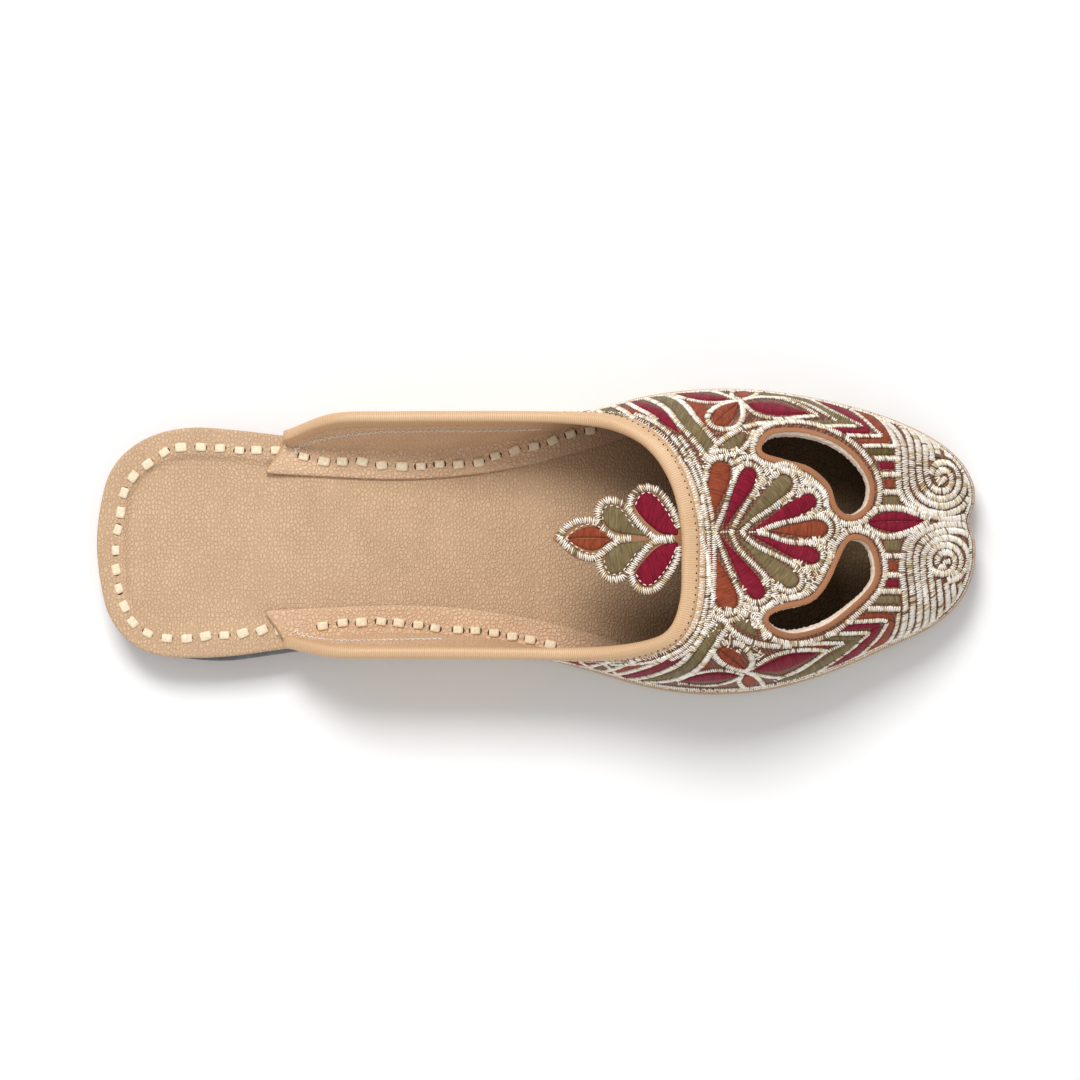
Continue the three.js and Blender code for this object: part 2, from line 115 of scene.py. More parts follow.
def curve_through(table: Array, at: Array, closed: bool = False) -> Array:
    """Points on the smooth curve through the rows of a table.

    Args:
        table: One point a row.
        at: Row numbers, whole or between rows.
        closed: Whether the last row leads back to the first.

    Returns:
        One point for each number in at.
    """
    at = np.atleast_1d(np.asarray(at, float))
    first = np.floor(at).astype(int)
    t = (at - first)[:, None]
    a, b, c, d = (table_rows(table, first + step, closed) for step in (-1, 0, 1, 2))
    bend = 2 * a - 5 * b + 4 * c - d
    twist = 3 * b - a - 3 * c + d
    return 0.5 * (2 * b + t * ((c - a) + t * (bend + t * twist)))


def run_lengths(points: Array) -> Array:
    """Distance along a line from its first point to each of its points."""
    return np.concatenate([[0.0], np.cumsum(np.linalg.norm(np.diff(points, axis=0), axis=1))])


def resample(points: Array, step: float) -> Array:
    """A line cut into equal steps.

    Args:
        points: Corners in order, with any number of coordinates.
        step: Wanted distance between the new points.

    Returns:
        The new points, both ends included.
    """
    along = run_lengths(points)
    at = np.linspace(0, along[-1], max(2, int(round(along[-1] / step)) + 1))
    return np.stack([np.interp(at, along, column) for column in points.T], axis=1)


def respaced(spots: Array, ups: Array, step: float = STITCH_STEP) -> Spots:
    """Spots along a line, and the outward directions there, in equal steps."""
    both = resample(np.column_stack([spots, ups]), step)
    return both[:, :3], unit(both[:, 3:])


def square_to(vectors: Array, ups: Array) -> Array:
    """Directions turned square to the outward ones."""
    return unit(vectors - (vectors * ups).sum(1, keepdims=True) * ups)


def drawn(corners: Line | Array, step: float = 0.5, closed: bool = False, columns: int = 2) -> Array:
    """A smooth line through a few corners, in equal steps.

    Args:
        corners: The corners that the line passes through, flat or one a row.
        step: Distance between the points of the line.
        closed: Whether it ends where it began.
        columns: How many numbers a corner has.

    Returns:
        Its points.
    """
    table = np.reshape(np.asarray(corners, float), (-1, columns))
    last = len(table) if closed else len(table) - 1
    at = np.linspace(0, last, last * 24 + 1)
    return resample(curve_through(table, at, closed), step)


def beside(line: Array, distance: Array | float) -> Array:
    """A flat line moved to its left.

    Args:
        line: Its points.
        distance: How far, the same everywhere or one for each point.

    Returns:
        The moved points.
    """
    run = unit(np.gradient(line[:, :2], axis=0))
    left = np.stack([-run[:, 1], run[:, 0]], axis=1)
    return line[:, :2] + left * np.broadcast_to(distance, (len(line),))[:, None]


# Form of the shoe


@dataclass(frozen=True)
class ShoeForm:
    """The shoe's outline, layer heights and upper, as the frame was built."""

    heel_x: float = -127.64
    centre_y: float = 0.7
    length: float = 255.2
    gap: float = 0.3
    lift: float = 4.0
    outsole: float = 3.6
    wedge: float = 3.8
    footbed: float = 2.6
    wall: float = 2.2
    margin: float = 1.3
    binding_height: float = 4.5
    toe_spring: float = 4.0
    dip_depth: float = 2.0
    dip_y: float = 6.1
    dip_width: float = 4.2
    dip_from: float = 215.0
    spine_ends: tuple[float, float] = (25.0, 215.0)
    bow: float = 4.0
    bow_reach: tuple[float, float] = (165.0, 245.0)
    waist: tuple[float, float] = (57.0, 150.0)
    wedge_end: tuple[float, float] = (50.0, 128.0)
    spring_from: float = 200.0
    first_row: int = 7
    rows: int = 52

    # Rows, counted from the heel, in which the section changes, and its values on both sides of them.
    ball_rows: tuple[float, float] = (11.0, 16.0)
    toe_rows: tuple[float, float] = (16.0, 24.0)
    crown: Triple = (1.1, 2.2, 1.05)
    shoulder: Triple = (1.1, 2.0, 1.9)
    foot_rows: tuple[float, float] = (10.0, 15.0)
    foot_inset: tuple[float, float] = (1.0, 1.3)

    # Sole seen from above: s, then the distances of its inner and outer edge from the long axis.
    outline: tuple[Triple, ...] = (
        (0.0, 0.0, 0.0), (0.9, 10.0, 10.0), (3.4, 19.6, 20.4), (8.5, 26.4, 27.8),
        (16.5, 31.2, 32.4), (27.0, 33.3, 33.5), (40.0, 32.6, 32.9), (55.0, 30.9, 30.9),
        (70.0, 29.8, 29.8), (88.0, 29.4, 29.2), (106.0, 30.6, 30.0), (124.0, 33.6, 32.6),
        (141.0, 38.2, 36.6), (156.0, 42.5, 41.0), (168.0, 44.6, 43.4), (181.0, 45.5, 44.1),
        (194.0, 45.0, 43.0), (207.0, 43.1, 39.8), (219.0, 40.4, 35.4), (230.0, 37.0, 30.4),
        (239.5, 32.8, 26.2), (247.0, 28.0, 21.2), (252.0, 22.9, 15.4), (254.7, 17.6, 8.4),
        (255.3, 13.4, 3.0), (255.5, 9.6, -2.4), (255.6, 6.1, -6.1),
    )
    # Top edge of the upper from row 7 on: s and distance on the inner side, on the outer side, z.
    topline: tuple[tuple[float, float, float, float, float], ...] = (
        (54.5, 31.6, 54.5, 30.0, 20.0), (69.0, 35.8, 69.0, 33.4, 31.4), (86.5, 36.2, 86.5, 33.7, 34.0),
        (104.0, 36.2, 104.0, 33.7, 34.3), (121.0, 36.0, 121.0, 33.7, 35.0),
        (134.0, 35.3, 134.0, 33.5, 36.4), (144.5, 33.2, 144.8, 32.6, 40.0),
        (151.8, 29.9, 152.2, 31.3, 43.6), (157.2, 26.2, 157.6, 30.0, 46.6),
        (161.0, 22.0, 161.8, 28.3, 48.6), (163.5, 17.9, 164.6, 25.8, 49.6),
        (165.2, 14.2, 166.3, 22.7, 50.1), (166.3, 10.8, 167.3, 19.2, 50.3), (167.0, 8.0, 167.9, 15.6, 50.4),
        (167.4, 6.0, 168.1, 12.3, 50.5), (167.7, 4.4, 168.2, 9.4, 50.5), (167.9, 3.2, 168.3, 6.8, 50.5),
        (168.1, 2.2, 168.4, 4.4, 50.5), (168.2, 1.3, 168.4, 2.2, 50.5), (168.3, 0.4, 168.3, -0.4, 50.5),
    )

    def place(self, points: Array) -> Array:
        """Shoe coordinates in millimetres as frame coordinates in metres."""
        return (points + np.array([self.heel_x, -self.centre_y, 0.0])) * MM

    def loop(self) -> Array:
        """The outline's rows in order round the sole, as s and y.

        Returns:
            The points, once round.
        """
        inner = [(s, left) for s, left, _ in self.outline]
        outer = [(s, -right) for s, _, right in self.outline[1:-1]]
        return np.array(inner + outer[::-1])

    def full_outline(self, row: Array) -> Array:
        """Outline points without the toe's dip."""
        return curve_through(self.loop(), row, closed=True)

    def dip(self, points: Array) -> Array:
        """How far the dip between the toe's two lobes sets each point back."""
        across = (points[:, 1] - self.dip_y) / self.dip_width
        return self.dip_depth * np.exp(-across**2) * smooth(self.dip_from, self.length, points[:, 0])

    def edge(self, row: Array) -> Array:
        """Outline points with the toe's dip.

        Args:
            row: Rows, whole or between.

        Returns:
            The points, one a row.
        """
        points = self.full_outline(row)
        points[:, 0] -= self.dip(points)
        return points

    def spine(self, s: Array) -> Array:
        """The middle of the foot beside each length s."""
        along = np.clip(s, *self.spine_ends)
        return np.stack([along, self.bow * smooth(*self.bow_reach, along)], axis=1)

    def inward(self, points: Array, distance: Array | float) -> Array:
        """Points moved towards the middle of the foot, and not past it.

        Args:
            points: Points, of which s and y are read.
            distance: How far they move.

        Returns:
            The moved points, as s and y.
        """
        to_spine = self.spine(points[:, 0]) - points[:, :2]
        reach = np.maximum(np.linalg.norm(to_spine, axis=1), 1e-6)
        share = np.minimum(1.0, distance / reach)
        return points[:, :2] + to_spine * share[:, None]

    def spring(self, s: Array) -> Array:
        """Rise of the sole towards the toe."""
        ahead = np.maximum(0.0, s - self.spring_from)
        return self.toe_spring * (ahead / (self.length - self.spring_from)) ** 2

    def outsole_bottom(self, s: Array) -> Array:
        """Height of the outsole's underside."""
        return (self.lift + self.gap) * (1 - smooth(*self.waist, s)) + self.spring(s)

    def outsole_top(self, s: Array) -> Array:
        """Height of the outsole's upper face."""
        return self.outsole_bottom(s) + self.outsole

    def footbed_bottom(self, s: Array) -> Array:
        """Height of the footbed's underside."""
        rise = (self.wedge + self.gap) * (1 - smooth(*self.wedge_end, s))
        return self.outsole_top(s) + self.gap + rise

    def footbed_top(self, s: Array) -> Array:
        """Height of the footbed's upper face."""
        return self.footbed_bottom(s) + self.footbed

    def rim(self, row: Array) -> Array:
        """Points of the upper's top edge.

        Args:
            row: Rows, whole or between.

        Returns:
            The points, one a row.
        """
        inner = [(s, y, z) for s, y, _, _, z in self.topline]
        outer = [(s, -y, z) for _, _, s, y, z in self.topline[:-1]]
        return curve_through(np.array(inner + outer[::-1]), np.asarray(row, float) - self.first_row)

    def side(self, row: Array) -> Array:
        """Row number counted from the heel on either side."""
        return np.minimum(row, self.rows - row)

    def foot(self, row: Array) -> Array:
        """Where the upper's outer face meets the footbed.

        Args:
            row: Rows, whole or between.

        Returns:
            The points, one a row.
        """
        inset = mix(*self.foot_inset, smooth(*self.foot_rows, self.side(row)))
        flat = self.inward(self.full_outline(row), inset)
        return np.column_stack([flat, self.footbed_top(flat[:, 0]) + self.gap])

    def face(self, row: Array, angle: Array) -> Array:
        """Points on the upper's outer face.

        Args:
            row: Row of the rib, one for each point.
            angle: 0 at the top edge and a quarter turn at the foot.

        Returns:
            One point for each pair.
        """
        row, angle = np.broadcast_arrays(np.asarray(row, float), np.asarray(angle, float))
        shape = row.shape
        row, angle = row.ravel(), angle.ravel()
        rim, foot = self.rim(row), self.foot(row)
        ball, toe = (smooth(*rows, self.side(row)) for rows in (self.ball_rows, self.toe_rows))
        crown, shoulder = (mix(mix(a, b, ball), c, toe) for a, b, c in (self.crown, self.shoulder))
        out = np.sin(angle) ** (2 / crown)
        up = np.maximum(np.cos(angle), 0.0) ** (2 / shoulder)
        flat = mix(rim[:, :2], foot[:, :2], out[:, None])
        flat[:, 0] -= self.dip(foot) * out**5
        points = np.column_stack([flat, mix(foot[:, 2], rim[:, 2], up)])
        return points.reshape(*shape, 3)

    def normal(self, row: Array, angle: Array) -> Array:
        """Outward directions of the upper's face.

        Args:
            row: Row of the rib, one for each point.
            angle: As for a point of the face.

        Returns:
            One direction for each pair.
        """
        turn, shift = 0.03, 0.05
        low, high = np.maximum(0.0, angle - turn), np.minimum(QUARTER_TURN, angle + turn)
        along = self.face(row + shift, angle) - self.face(row - shift, angle)
        down = self.face(row, high) - self.face(row, low)
        return unit(np.cross(along, down))

    def rib(self, row: float, count: int = 161) -> tuple[Array, Array]:
        """Angles down one rib in equal steps, and its points there."""
        angles = np.linspace(0, QUARTER_TURN, count)
        return angles, self.face(np.full(count, row), angles)

    def rib_angles(self, row: float, distances: Array) -> Array:
        """Angles at distances down one rib from the top edge."""
        angles, points = self.rib(row)
        return np.interp(distances, run_lengths(points), angles)

    def rib_length(self, row: float) -> float:
        """Length of one rib."""
        return float(run_lengths(self.rib(row, 49)[1])[-1])

    def binding_at(self, row: float) -> float:
        """How far the binding reaches down the outside of a rib."""
        return min(self.binding_height, 0.4 * self.rib_length(row))


FORM = ShoeForm()
CLOTH_ROWS = (12.0, 40.8)


# Meshes


def new_object(name: str, data: bpy.types.ID) -> bpy.types.Object:
    """An object of the scene that holds some data.

    Args:
        name: Its name.
        data: What it shows or holds.

    Returns:
        The object, linked to the scene.
    """
    made = bpy.data.objects.new(name, data)
    bpy.context.scene.collection.objects.link(made)
    return made


def dress(made: bpy.types.Object, replaces: tuple[str, ...] = ()) -> bpy.types.Object:
    """Attach a piece to its body and hide the nodes of the frame that it replaces.

    Args:
        made: The piece's object.
        replaces: Plain nodes of the frame that it stands for.

    Returns:
        The same object.
    """
    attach(made, ROOT)
    if replaces:
        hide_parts(*replaces)
    log.info("%s: %d triangles", made.name, sum(len(p.vertices) - 2 for p in made.data.polygons))
    return made


def grid_faces(rows: int, columns: int, wrapped: bool = True) -> list[tuple[int, ...]]:
    """Four-sided faces of a grid whose points are listed row by row.

    Args:
        rows: How many rows of points.
        columns: How many points a row.
        wrapped: Whether each row's last point joins its first.

    Returns:
        The faces.
    """
    here = np.arange(rows - 1)[:, None] * columns
    i = np.arange(columns if wrapped else columns - 1)[None, :]
    j = (i + 1) % columns
    there = here + columns
    quads = np.stack(np.broadcast_arrays(here + i, there + i, there + j, here + j), -1)
    return [tuple(q) for q in quads.reshape(-1, 4).tolist()]


def tube_faces(rows: int, columns: int) -> list[tuple[int, ...]]:
    """Faces of a closed tube: a wrapped grid with a section a row, and its two ends.

    Args:
        rows: How many sections.
        columns: Points in a section.

    Returns:
        The faces.
    """
    last = (rows - 1) * columns
    ends = [tuple(range(columns)), tuple(range(last + columns - 1, last - 1, -1))]
    return grid_faces(rows, columns) + ends


@dataclass
class MeshData:
    """Points and faces of a piece in shoe coordinates, with a UV point each, before it is a mesh."""

    points: Array
    faces: list[tuple[int, ...]]
    uv: Array | None = None

    @staticmethod
    def joined(parts: list["MeshData"]) -> "MeshData":
        """Several parts as one.

        Args:
            parts: The parts, all with UVs or all without.

        Returns:
            One set of points, faces and UVs.
        """
        points, faces, uvs, start = [], [], [], 0
        for part in parts:
            points.append(part.points)
            uvs.append(part.uv if part.uv is not None else np.zeros((len(part.points), 2)))
            faces.extend(tuple(start + i for i in face) for face in part.faces)
            start += len(part.points)
        return MeshData(np.concatenate(points), faces, np.concatenate(uvs))

    def mesh(self, name: str, merge: float = 0.0) -> bpy.types.Mesh:
        """The data as a mesh whose faces point out, with its UV map in millimetres.

        Args:
            name: Name of the mesh.
            merge: Points nearer than this become one; 0 leaves them.

        Returns:
            The mesh.
        """
        mesh = bpy.data.meshes.new(name)
        mesh.from_pydata(FORM.place(self.points).tolist(), [], self.faces)
        if self.uv is not None:
            layer = mesh.uv_layers.new(name="UVMap")
            corner = np.empty(len(mesh.loops), int)
            mesh.loops.foreach_get("vertex_index", corner)
            layer.data.foreach_set("uv", self.uv[corner].ravel())
        shape = bmesh.new()
        shape.from_mesh(mesh)
        if merge:
            bmesh.ops.remove_doubles(shape, verts=shape.verts, dist=merge * MM)
            bmesh.ops.dissolve_degenerate(shape, edges=shape.edges, dist=1e-7)
        bmesh.ops.recalc_face_normals(shape, faces=shape.faces)
        shape.to_mesh(mesh)
        shape.free()
        return mesh


@dataclass
class Piece:
    """A piece of the shoe that rides on its one body."""

    name: str
    slot: str
    data: MeshData
    materials: list[bpy.types.Material]
    replaces: tuple[str, ...] = ()
    merge: float = 0.0

    def build(self) -> bpy.types.Object:
        """Make the object.

        Returns:
            The finished object, smoothly shaded.
        """
        mesh = self.data.mesh(self.name, self.merge)
        for material in self.materials:
            mesh.materials.append(material)
        mesh.polygons.foreach_set("use_smooth", [True] * len(mesh.polygons))
        return dress(new_object(self.name, mesh), self.replaces)


# Finishes


def srgb(*channels: int) -> tuple[float, float, float, float]:
    """A display colour, 0 to 255 a channel, as a shader colour.

    Returns:
        The colour in linear light, with full alpha.
    """
    shares = [value / 255 for value in channels]
    red, green, blue = (s / 12.92 if s <= 0.04045 else ((s + 0.055) / 1.055) ** 2.4 for s in shares)
    return red, green, blue, 1.0


Plug = bpy.types.NodeSocket | bpy.types.Material | float | int | str | tuple | None


class Graph:
    """A node tree while it is put together."""

    def __init__(self, tree: bpy.types.NodeTree) -> None:
        """Keep the tree."""
        self.tree = tree

    def add(
        self, kind: str, inputs: dict[str | int, Plug] | None = None, **settings: object
    ) -> bpy.types.Node:
        """Add a node.

        Args:
            kind: Blender's name of the node type.
            inputs: A value or a socket to link, for each input by name or number.
            **settings: The node's own properties.

        Returns:
            The node.
        """
        node = self.tree.nodes.new(kind)
        for name, value in settings.items():
            setattr(node, name, value)
        for key, value in (inputs or {}).items():
            self.plug(node.inputs[key], value)
        return node

    def plug(self, socket: bpy.types.NodeSocket, value: Plug) -> None:
        """Link a socket, or set it when the value is plain.

        Args:
            socket: The input to fill.
            value: An output to link from, or a plain value.
        """
        if isinstance(value, bpy.types.NodeSocket):
            self.tree.links.new(value, socket)
        elif value is not None:
            socket.default_value = value

    def math(self, operation: str, a: Plug, b: Plug = None, c: Plug = None) -> bpy.types.NodeSocket:
        """The result of one arithmetic step."""
        return self.add("ShaderNodeMath", {0: a, 1: b, 2: c}, operation=operation).outputs[0]


class Board(Graph):
    """A material's node tree while it is put together."""

    def __init__(self, name: str) -> None:
        """Start a material with a shader and an output.

        Args:
            name: Name of the material.
        """
        self.material = bpy.data.materials.new(name)
        self.material.use_nodes = True
        super().__init__(self.material.node_tree)
        self.tree.nodes.clear()
        self.shader = self.add("ShaderNodeBsdfPrincipled")
        self.add("ShaderNodeOutputMaterial", {0: self.shader.outputs[0]})

    def place(self, stretch: Triple = (1.0, 1.0, 1.0), uv: bool = False) -> bpy.types.NodeSocket:
        """Coordinates in millimetres, stretched along each axis.

        Args:
            stretch: Factor for each axis.
            uv: Whether to read the piece's own UV map in place of its object coordinates.

        Returns:
            The coordinates.
        """
        where = self.add("ShaderNodeTexCoord").outputs["UV" if uv else "Object"]
        scale = tuple(value if uv else value / MM for value in stretch)
        return self.add("ShaderNodeMapping", {"Vector": where, "Scale": scale}).outputs[0]

    def noise(
        self, where: Plug, scale: float, detail: float = 3.0, rough: float = 0.55
    ) -> bpy.types.NodeSocket:
        """Cloudy variation, about 0.5 on average."""
        inputs = {"Vector": where, "Scale": scale, "Detail": detail, "Roughness": rough}
        return self.add("ShaderNodeTexNoise", inputs).outputs["Fac"]

    def bands(self, pitch: float, wander: float, detail: float, grain: float) -> bpy.types.NodeSocket:
        """Wavy bands that run along V of the piece's own UV map.

        Args:
            pitch: Distance between two bands.
            wander: How far they stray.
            detail: Levels of fineness in which they stray.
            grain: Fineness of the straying.

        Returns:
            Their height.
        """
        inputs = {"Vector": self.place(uv=True), "Scale": 0.314 / pitch, "Distortion": wander,
                  "Detail": detail, "Detail Scale": grain}
        return self.add("ShaderNodeTexWave", inputs, wave_type="BANDS", bands_direction="X").outputs["Fac"]

    def ramp(self, value: Plug, low: float, high: float, start: float = 0.0, end: float = 1.0) -> Plug:
        """A value read between low and high as one between start and end."""
        inputs = {"Value": value, "From Min": low, "From Max": high, "To Min": start, "To Max": end}
        return self.add("ShaderNodeMapRange", inputs).outputs[0]

    def blend(self, share: Plug, a: Plug, b: Plug) -> bpy.types.NodeSocket:
        """Two colours mixed by a share."""
        return self.add("ShaderNodeMix", {0: share, 6: a, 7: b}, data_type="RGBA").outputs[2]

    def relief(self, height: Plug, depth: float, strength: float) -> bpy.types.NodeSocket:
        """Surface relief of a depth in millimetres from a height map."""
        inputs = {"Height": height, "Distance": depth * MM, "Strength": strength}
        return self.add("ShaderNodeBump", inputs).outputs[0]

    def finish(self, colour: Plug, roughness: Plug, relief: Plug, **fixed: float) -> bpy.types.Material:
        """Wire the shader.

        Args:
            colour: Base colour.
            roughness: Roughness.
            relief: Relief of the surface.
            **fixed: Plain values of other shader inputs, with spaces as underscores.

        Returns:
            The material.
        """
        inputs = {"Base Color": colour, "Roughness": roughness, "Normal": relief}
        inputs |= {name.replace("_", " "): value for name, value in fixed.items()}
        for name, value in inputs.items():
            self.plug(self.shader.inputs[name], value)
        return self.material


@dataclass(frozen=True)
class Finish:
    """What the finishes share: a light tone and a dark one."""

    name: str
    tone: Colour
    shade: Colour

    def toned(self, board: Board, share: Plug) -> bpy.types.NodeSocket:
        """The dark tone turned to the light one by a share."""
        return board.blend(share, srgb(*self.shade), srgb(*self.tone))


@dataclass(frozen=True)
class LeatherFinish(Finish):
    """Grained leather: pebbles parted by darker creases, cloudy tone, and painted shade towards the toe for
    the vamp's shadow inside the shoe.
    """

    pebble: float = 0.6
    depth: float = 0.08
    roughness: float = 0.5
    stretch: Triple = (1.0, 1.0, 1.0)
    # Painted shade: from this length on, the colour darkens towards the toe to stand for the vamp's shadow
    # inside the shoe.
    painted_shade_from: float | None = None
    painted_shade_reach: float = 62.0
    painted_shade: Colour = (104, 80, 50)
    painted_shade_inset: float = 0.0
    blotch: float = 14.0

    def pebbles(self, board: Board, where: Plug) -> bpy.types.NodeSocket:
        """Height of the grain, 0 in the creases.

        Args:
            board: The material.
            where: Its coordinates.

        Returns:
            The height.
        """
        cloud = {"Vector": where, "Scale": 1.4, "Detail": 2.0}
        wander = board.add("ShaderNodeTexNoise", cloud).outputs["Color"]
        bend = {0: wander, 1: (0.7, 0.7, 0.7), 2: where}
        bent = board.add("ShaderNodeVectorMath", bend, operation="MULTIPLY_ADD").outputs[0]
        inputs = {"Vector": bent, "Scale": 1 / self.pebble, "Randomness": 0.85}
        cells = board.add("ShaderNodeTexVoronoi", inputs, feature="DISTANCE_TO_EDGE").outputs["Distance"]
        return board.ramp(cells, 0.0, 0.22)

    def painted_shade_share(self, board: Board, cloud: Plug) -> bpy.types.NodeSocket:
        """How much painted shade darkens the leather towards the toe, for the vamp's shadow.

        Args:
            board: The material.
            cloud: Variation that blurs the start of the painted shade.

        Returns:
            The share of the painted shade colour.
        """
        ahead = board.add("ShaderNodeSeparateXYZ", {0: board.place()}).outputs["X"]
        blurred = board.math("MULTIPLY_ADD", cloud, 14.0, ahead)
        share = board.ramp(blurred, self.painted_shade_from, self.painted_shade_from + self.painted_shade_reach)
        if not self.painted_shade_inset:
            return share
        across = board.add("ShaderNodeSeparateXYZ", {0: board.place(uv=True)}).outputs["Y"]
        inset = board.math("ABSOLUTE", across)
        return board.math("MULTIPLY", share, board.ramp(inset, self.painted_shade_inset, self.painted_shade_inset + 1.0))

    def build(self) -> bpy.types.Material:
        """Make the material.

        Returns:
            The material.
        """
        board = Board(self.name)
        where = board.place(self.stretch)
        pebble = self.pebbles(board, where)
        fine = board.noise(where, 3.2 / self.pebble, 2.0)
        cloud = board.noise(where, 1 / self.blotch, 4.0)
        crease = board.ramp(pebble, 0.0, 0.5, 0.45, 1.0)
        share = board.math("MULTIPLY", crease, board.ramp(cloud, 0.25, 0.7, 0.55, 1.0))
        colour = self.toned(board, share)
        # Painted shade of the vamp's shadow, darker towards the toe.
        if self.painted_shade_from is not None:
            colour = board.blend(self.painted_shade_share(board, cloud), colour, srgb(*self.painted_shade))
        rough = board.ramp(cloud, 0.2, 0.8, self.roughness - 0.08, self.roughness + 0.1)
        height = board.math("MULTIPLY_ADD", fine, 0.25, pebble)
        return board.finish(colour, rough, board.relief(height, self.depth, 0.8), Specular_IOR_Level=0.4)


@dataclass(frozen=True)
class RolledLeatherFinish(Finish):
    """Thin leather folded over an edge, with fine creases across the roll. Its U runs along the roll."""

    pitch: float = 0.6
    depth: float = 0.05
    roughness: float = 0.45

    def build(self) -> bpy.types.Material:
        """Make the material.

        Returns:
            The material.
        """
        board = Board(self.name)
        ridges = board.bands(self.pitch, 2.6, 2.0, 1.4)
        wobble = board.noise(board.place((0.9, 0.35, 1.0), uv=True), 1 / self.pitch, 2.0, 0.6)
        height = board.math("ADD", board.math("MULTIPLY", ridges, 0.7), board.math("MULTIPLY", wobble, 0.6))
        cloud = board.ramp(board.noise(board.place(), 0.09, 4.0), 0.25, 0.7, 0.7, 1.0)
        colour = self.toned(board, board.math("MULTIPLY", board.ramp(height, 0.25, 0.9), cloud))
        bump = board.relief(height, self.depth, 0.7)
        return board.finish(colour, self.roughness, bump, Specular_IOR_Level=0.45)


@dataclass(frozen=True)
class SatinFinish(Finish):
    """Flat silk stitches side by side. U runs along the filled shape and V along the threads."""

    light: Colour
    thread: float = 0.4
    depth: float = 0.1

    def build(self) -> bpy.types.Material:
        """Make the material.

        Returns:
            The material.
        """
        board = Board(self.name)
        threads = board.bands(self.thread, 0.8, 1.0, 0.6)
        streaks = board.noise(board.place((1.0, 0.14, 1.0), uv=True), 1.7, 3.0, 0.65)
        cloud = board.noise(board.place(), 0.25, 2.0)
        share = board.math("MULTIPLY_ADD", threads, 0.3, board.ramp(streaks, 0.3, 0.72, 0.0, 0.75))
        dark = self.toned(board, board.ramp(share, 0.1, 0.6))
        colour = board.blend(board.ramp(share, 0.62, 1.0, 0.0, 0.65), dark, srgb(*self.light))
        tinted = board.blend(board.ramp(cloud, 0.3, 0.75, 0.0, 0.35), colour, srgb(*self.shade))
        height = board.math("MULTIPLY_ADD", streaks, 0.7, threads)
        return board.finish(tinted, 0.6, board.relief(height, self.depth, 0.9), Specular_IOR_Level=0.16)


@dataclass(frozen=True)
class MetalThreadFinish:
    """Metal-wrapped thread. Each stitch carries a shade from 0, dark, to 1, bright."""

    name: str
    bright: Colour = (252, 245, 234)
    gold: Colour = (218, 194, 148)
    dark: Colour = (126, 102, 76)
    roughness: float = 0.32

    def build(self) -> bpy.types.Material:
        """Make the material.

        Returns:
            The material.
        """
        board = Board(self.name)
        shade = board.add("ShaderNodeAttribute", attribute_name="shade").outputs["Fac"]
        warm = board.blend(board.ramp(shade, 0.02, 0.06), srgb(*self.dark), srgb(*self.gold))
        colour = board.blend(board.ramp(shade, 0.08, 0.4), warm, srgb(*self.bright))
        twist = board.noise(board.place(), 2.6, 2.0)
        flecked = board.blend(board.ramp(twist, 0.28, 0.44, 0.25, 0.0), colour, srgb(*self.dark))
        relief = board.relief(twist, 0.1, 0.6)
        return board.finish(flecked, self.roughness, relief, Metallic=0.3, Specular_IOR_Level=0.6)


@dataclass(frozen=True)
class LayeredFinish(Finish):
    """A cut edge that shows its layers: streaks that run level round the piece."""

    layer: float = 0.9
    depth: float = 0.15
    roughness: float = 0.6

    def build(self) -> bpy.types.Material:
        """Make the material.

        Returns:
            The material.
        """
        board = Board(self.name)
        streaks = board.noise(board.place((0.05, 0.05, 1.0)), 1 / self.layer, 4.0, 0.7)
        fibres = board.noise(board.place((0.5, 0.5, 3.0)), 0.8, 4.0, 0.7)
        cloud = board.noise(board.place(), 0.07, 3.0)
        share = board.math("MULTIPLY_ADD", fibres, 0.45, board.math("MULTIPLY", streaks, 0.75))
        base = self.toned(board, board.ramp(share, 0.42, 0.76))
        colour = board.blend(board.ramp(cloud, 0.35, 0.75, 0.0, 0.45), base, srgb(*self.shade))
        return board.finish(colour, self.roughness, board.relief(share, self.depth, 0.8))


@dataclass(frozen=True)
class WovenFinish(Finish):
    """Plain woven cloth in two thread tones."""

    thread: float = 0.45
    depth: float = 0.12

    def build(self) -> bpy.types.Material:
        """Make the material.

        Returns:
            The material.
        """
        board = Board(self.name)
        where = board.place()
        weaves = []
        for run in ((1.0, 0.0, 0.6), (0.0, 1.0, 0.8)):
            dot = board.add("ShaderNodeVectorMath", {0: where, 1: run}, operation="DOT_PRODUCT")
            across = dot.outputs["Value"]
            wobble = board.math("MULTIPLY", board.noise(where, 0.5, 2.0), 1.2)
            turns = board.math("MULTIPLY", board.math("ADD", across, wobble), math.pi / self.thread)
            weaves.append(board.math("MULTIPLY_ADD", board.math("SINE", turns), 0.5, 0.5))
        height = board.math("MULTIPLY", *weaves)
        cloud = board.ramp(board.noise(where, 0.4, 4.0), 0.25, 0.7, 0.5, 1.0)
        colour = self.toned(board, board.math("MULTIPLY", board.ramp(height, 0.05, 0.6), cloud))
        return board.finish(colour, 0.8, board.relief(height, self.depth, 0.9), Sheen_Weight=0.1)


@dataclass(frozen=True)
class PlainFinish(Finish):
    """A quiet matt finish with faint speckle, such as thread, cut thong or the studio floor."""

    speck: float = 0.5
    depth: float = 0.05
    roughness: float = 0.7

    def build(self) -> bpy.types.Material:
        """Make the material.

        Returns:
            The material.
        """
        board = Board(self.name)
        specks = board.noise(board.place(), 1 / self.speck, 3.0)
        colour = self.toned(board, board.ramp(specks, 0.3, 0.7))
        return board.finish(colour, self.roughness, board.relief(specks, self.depth, 0.5))


# Surfaces to work on


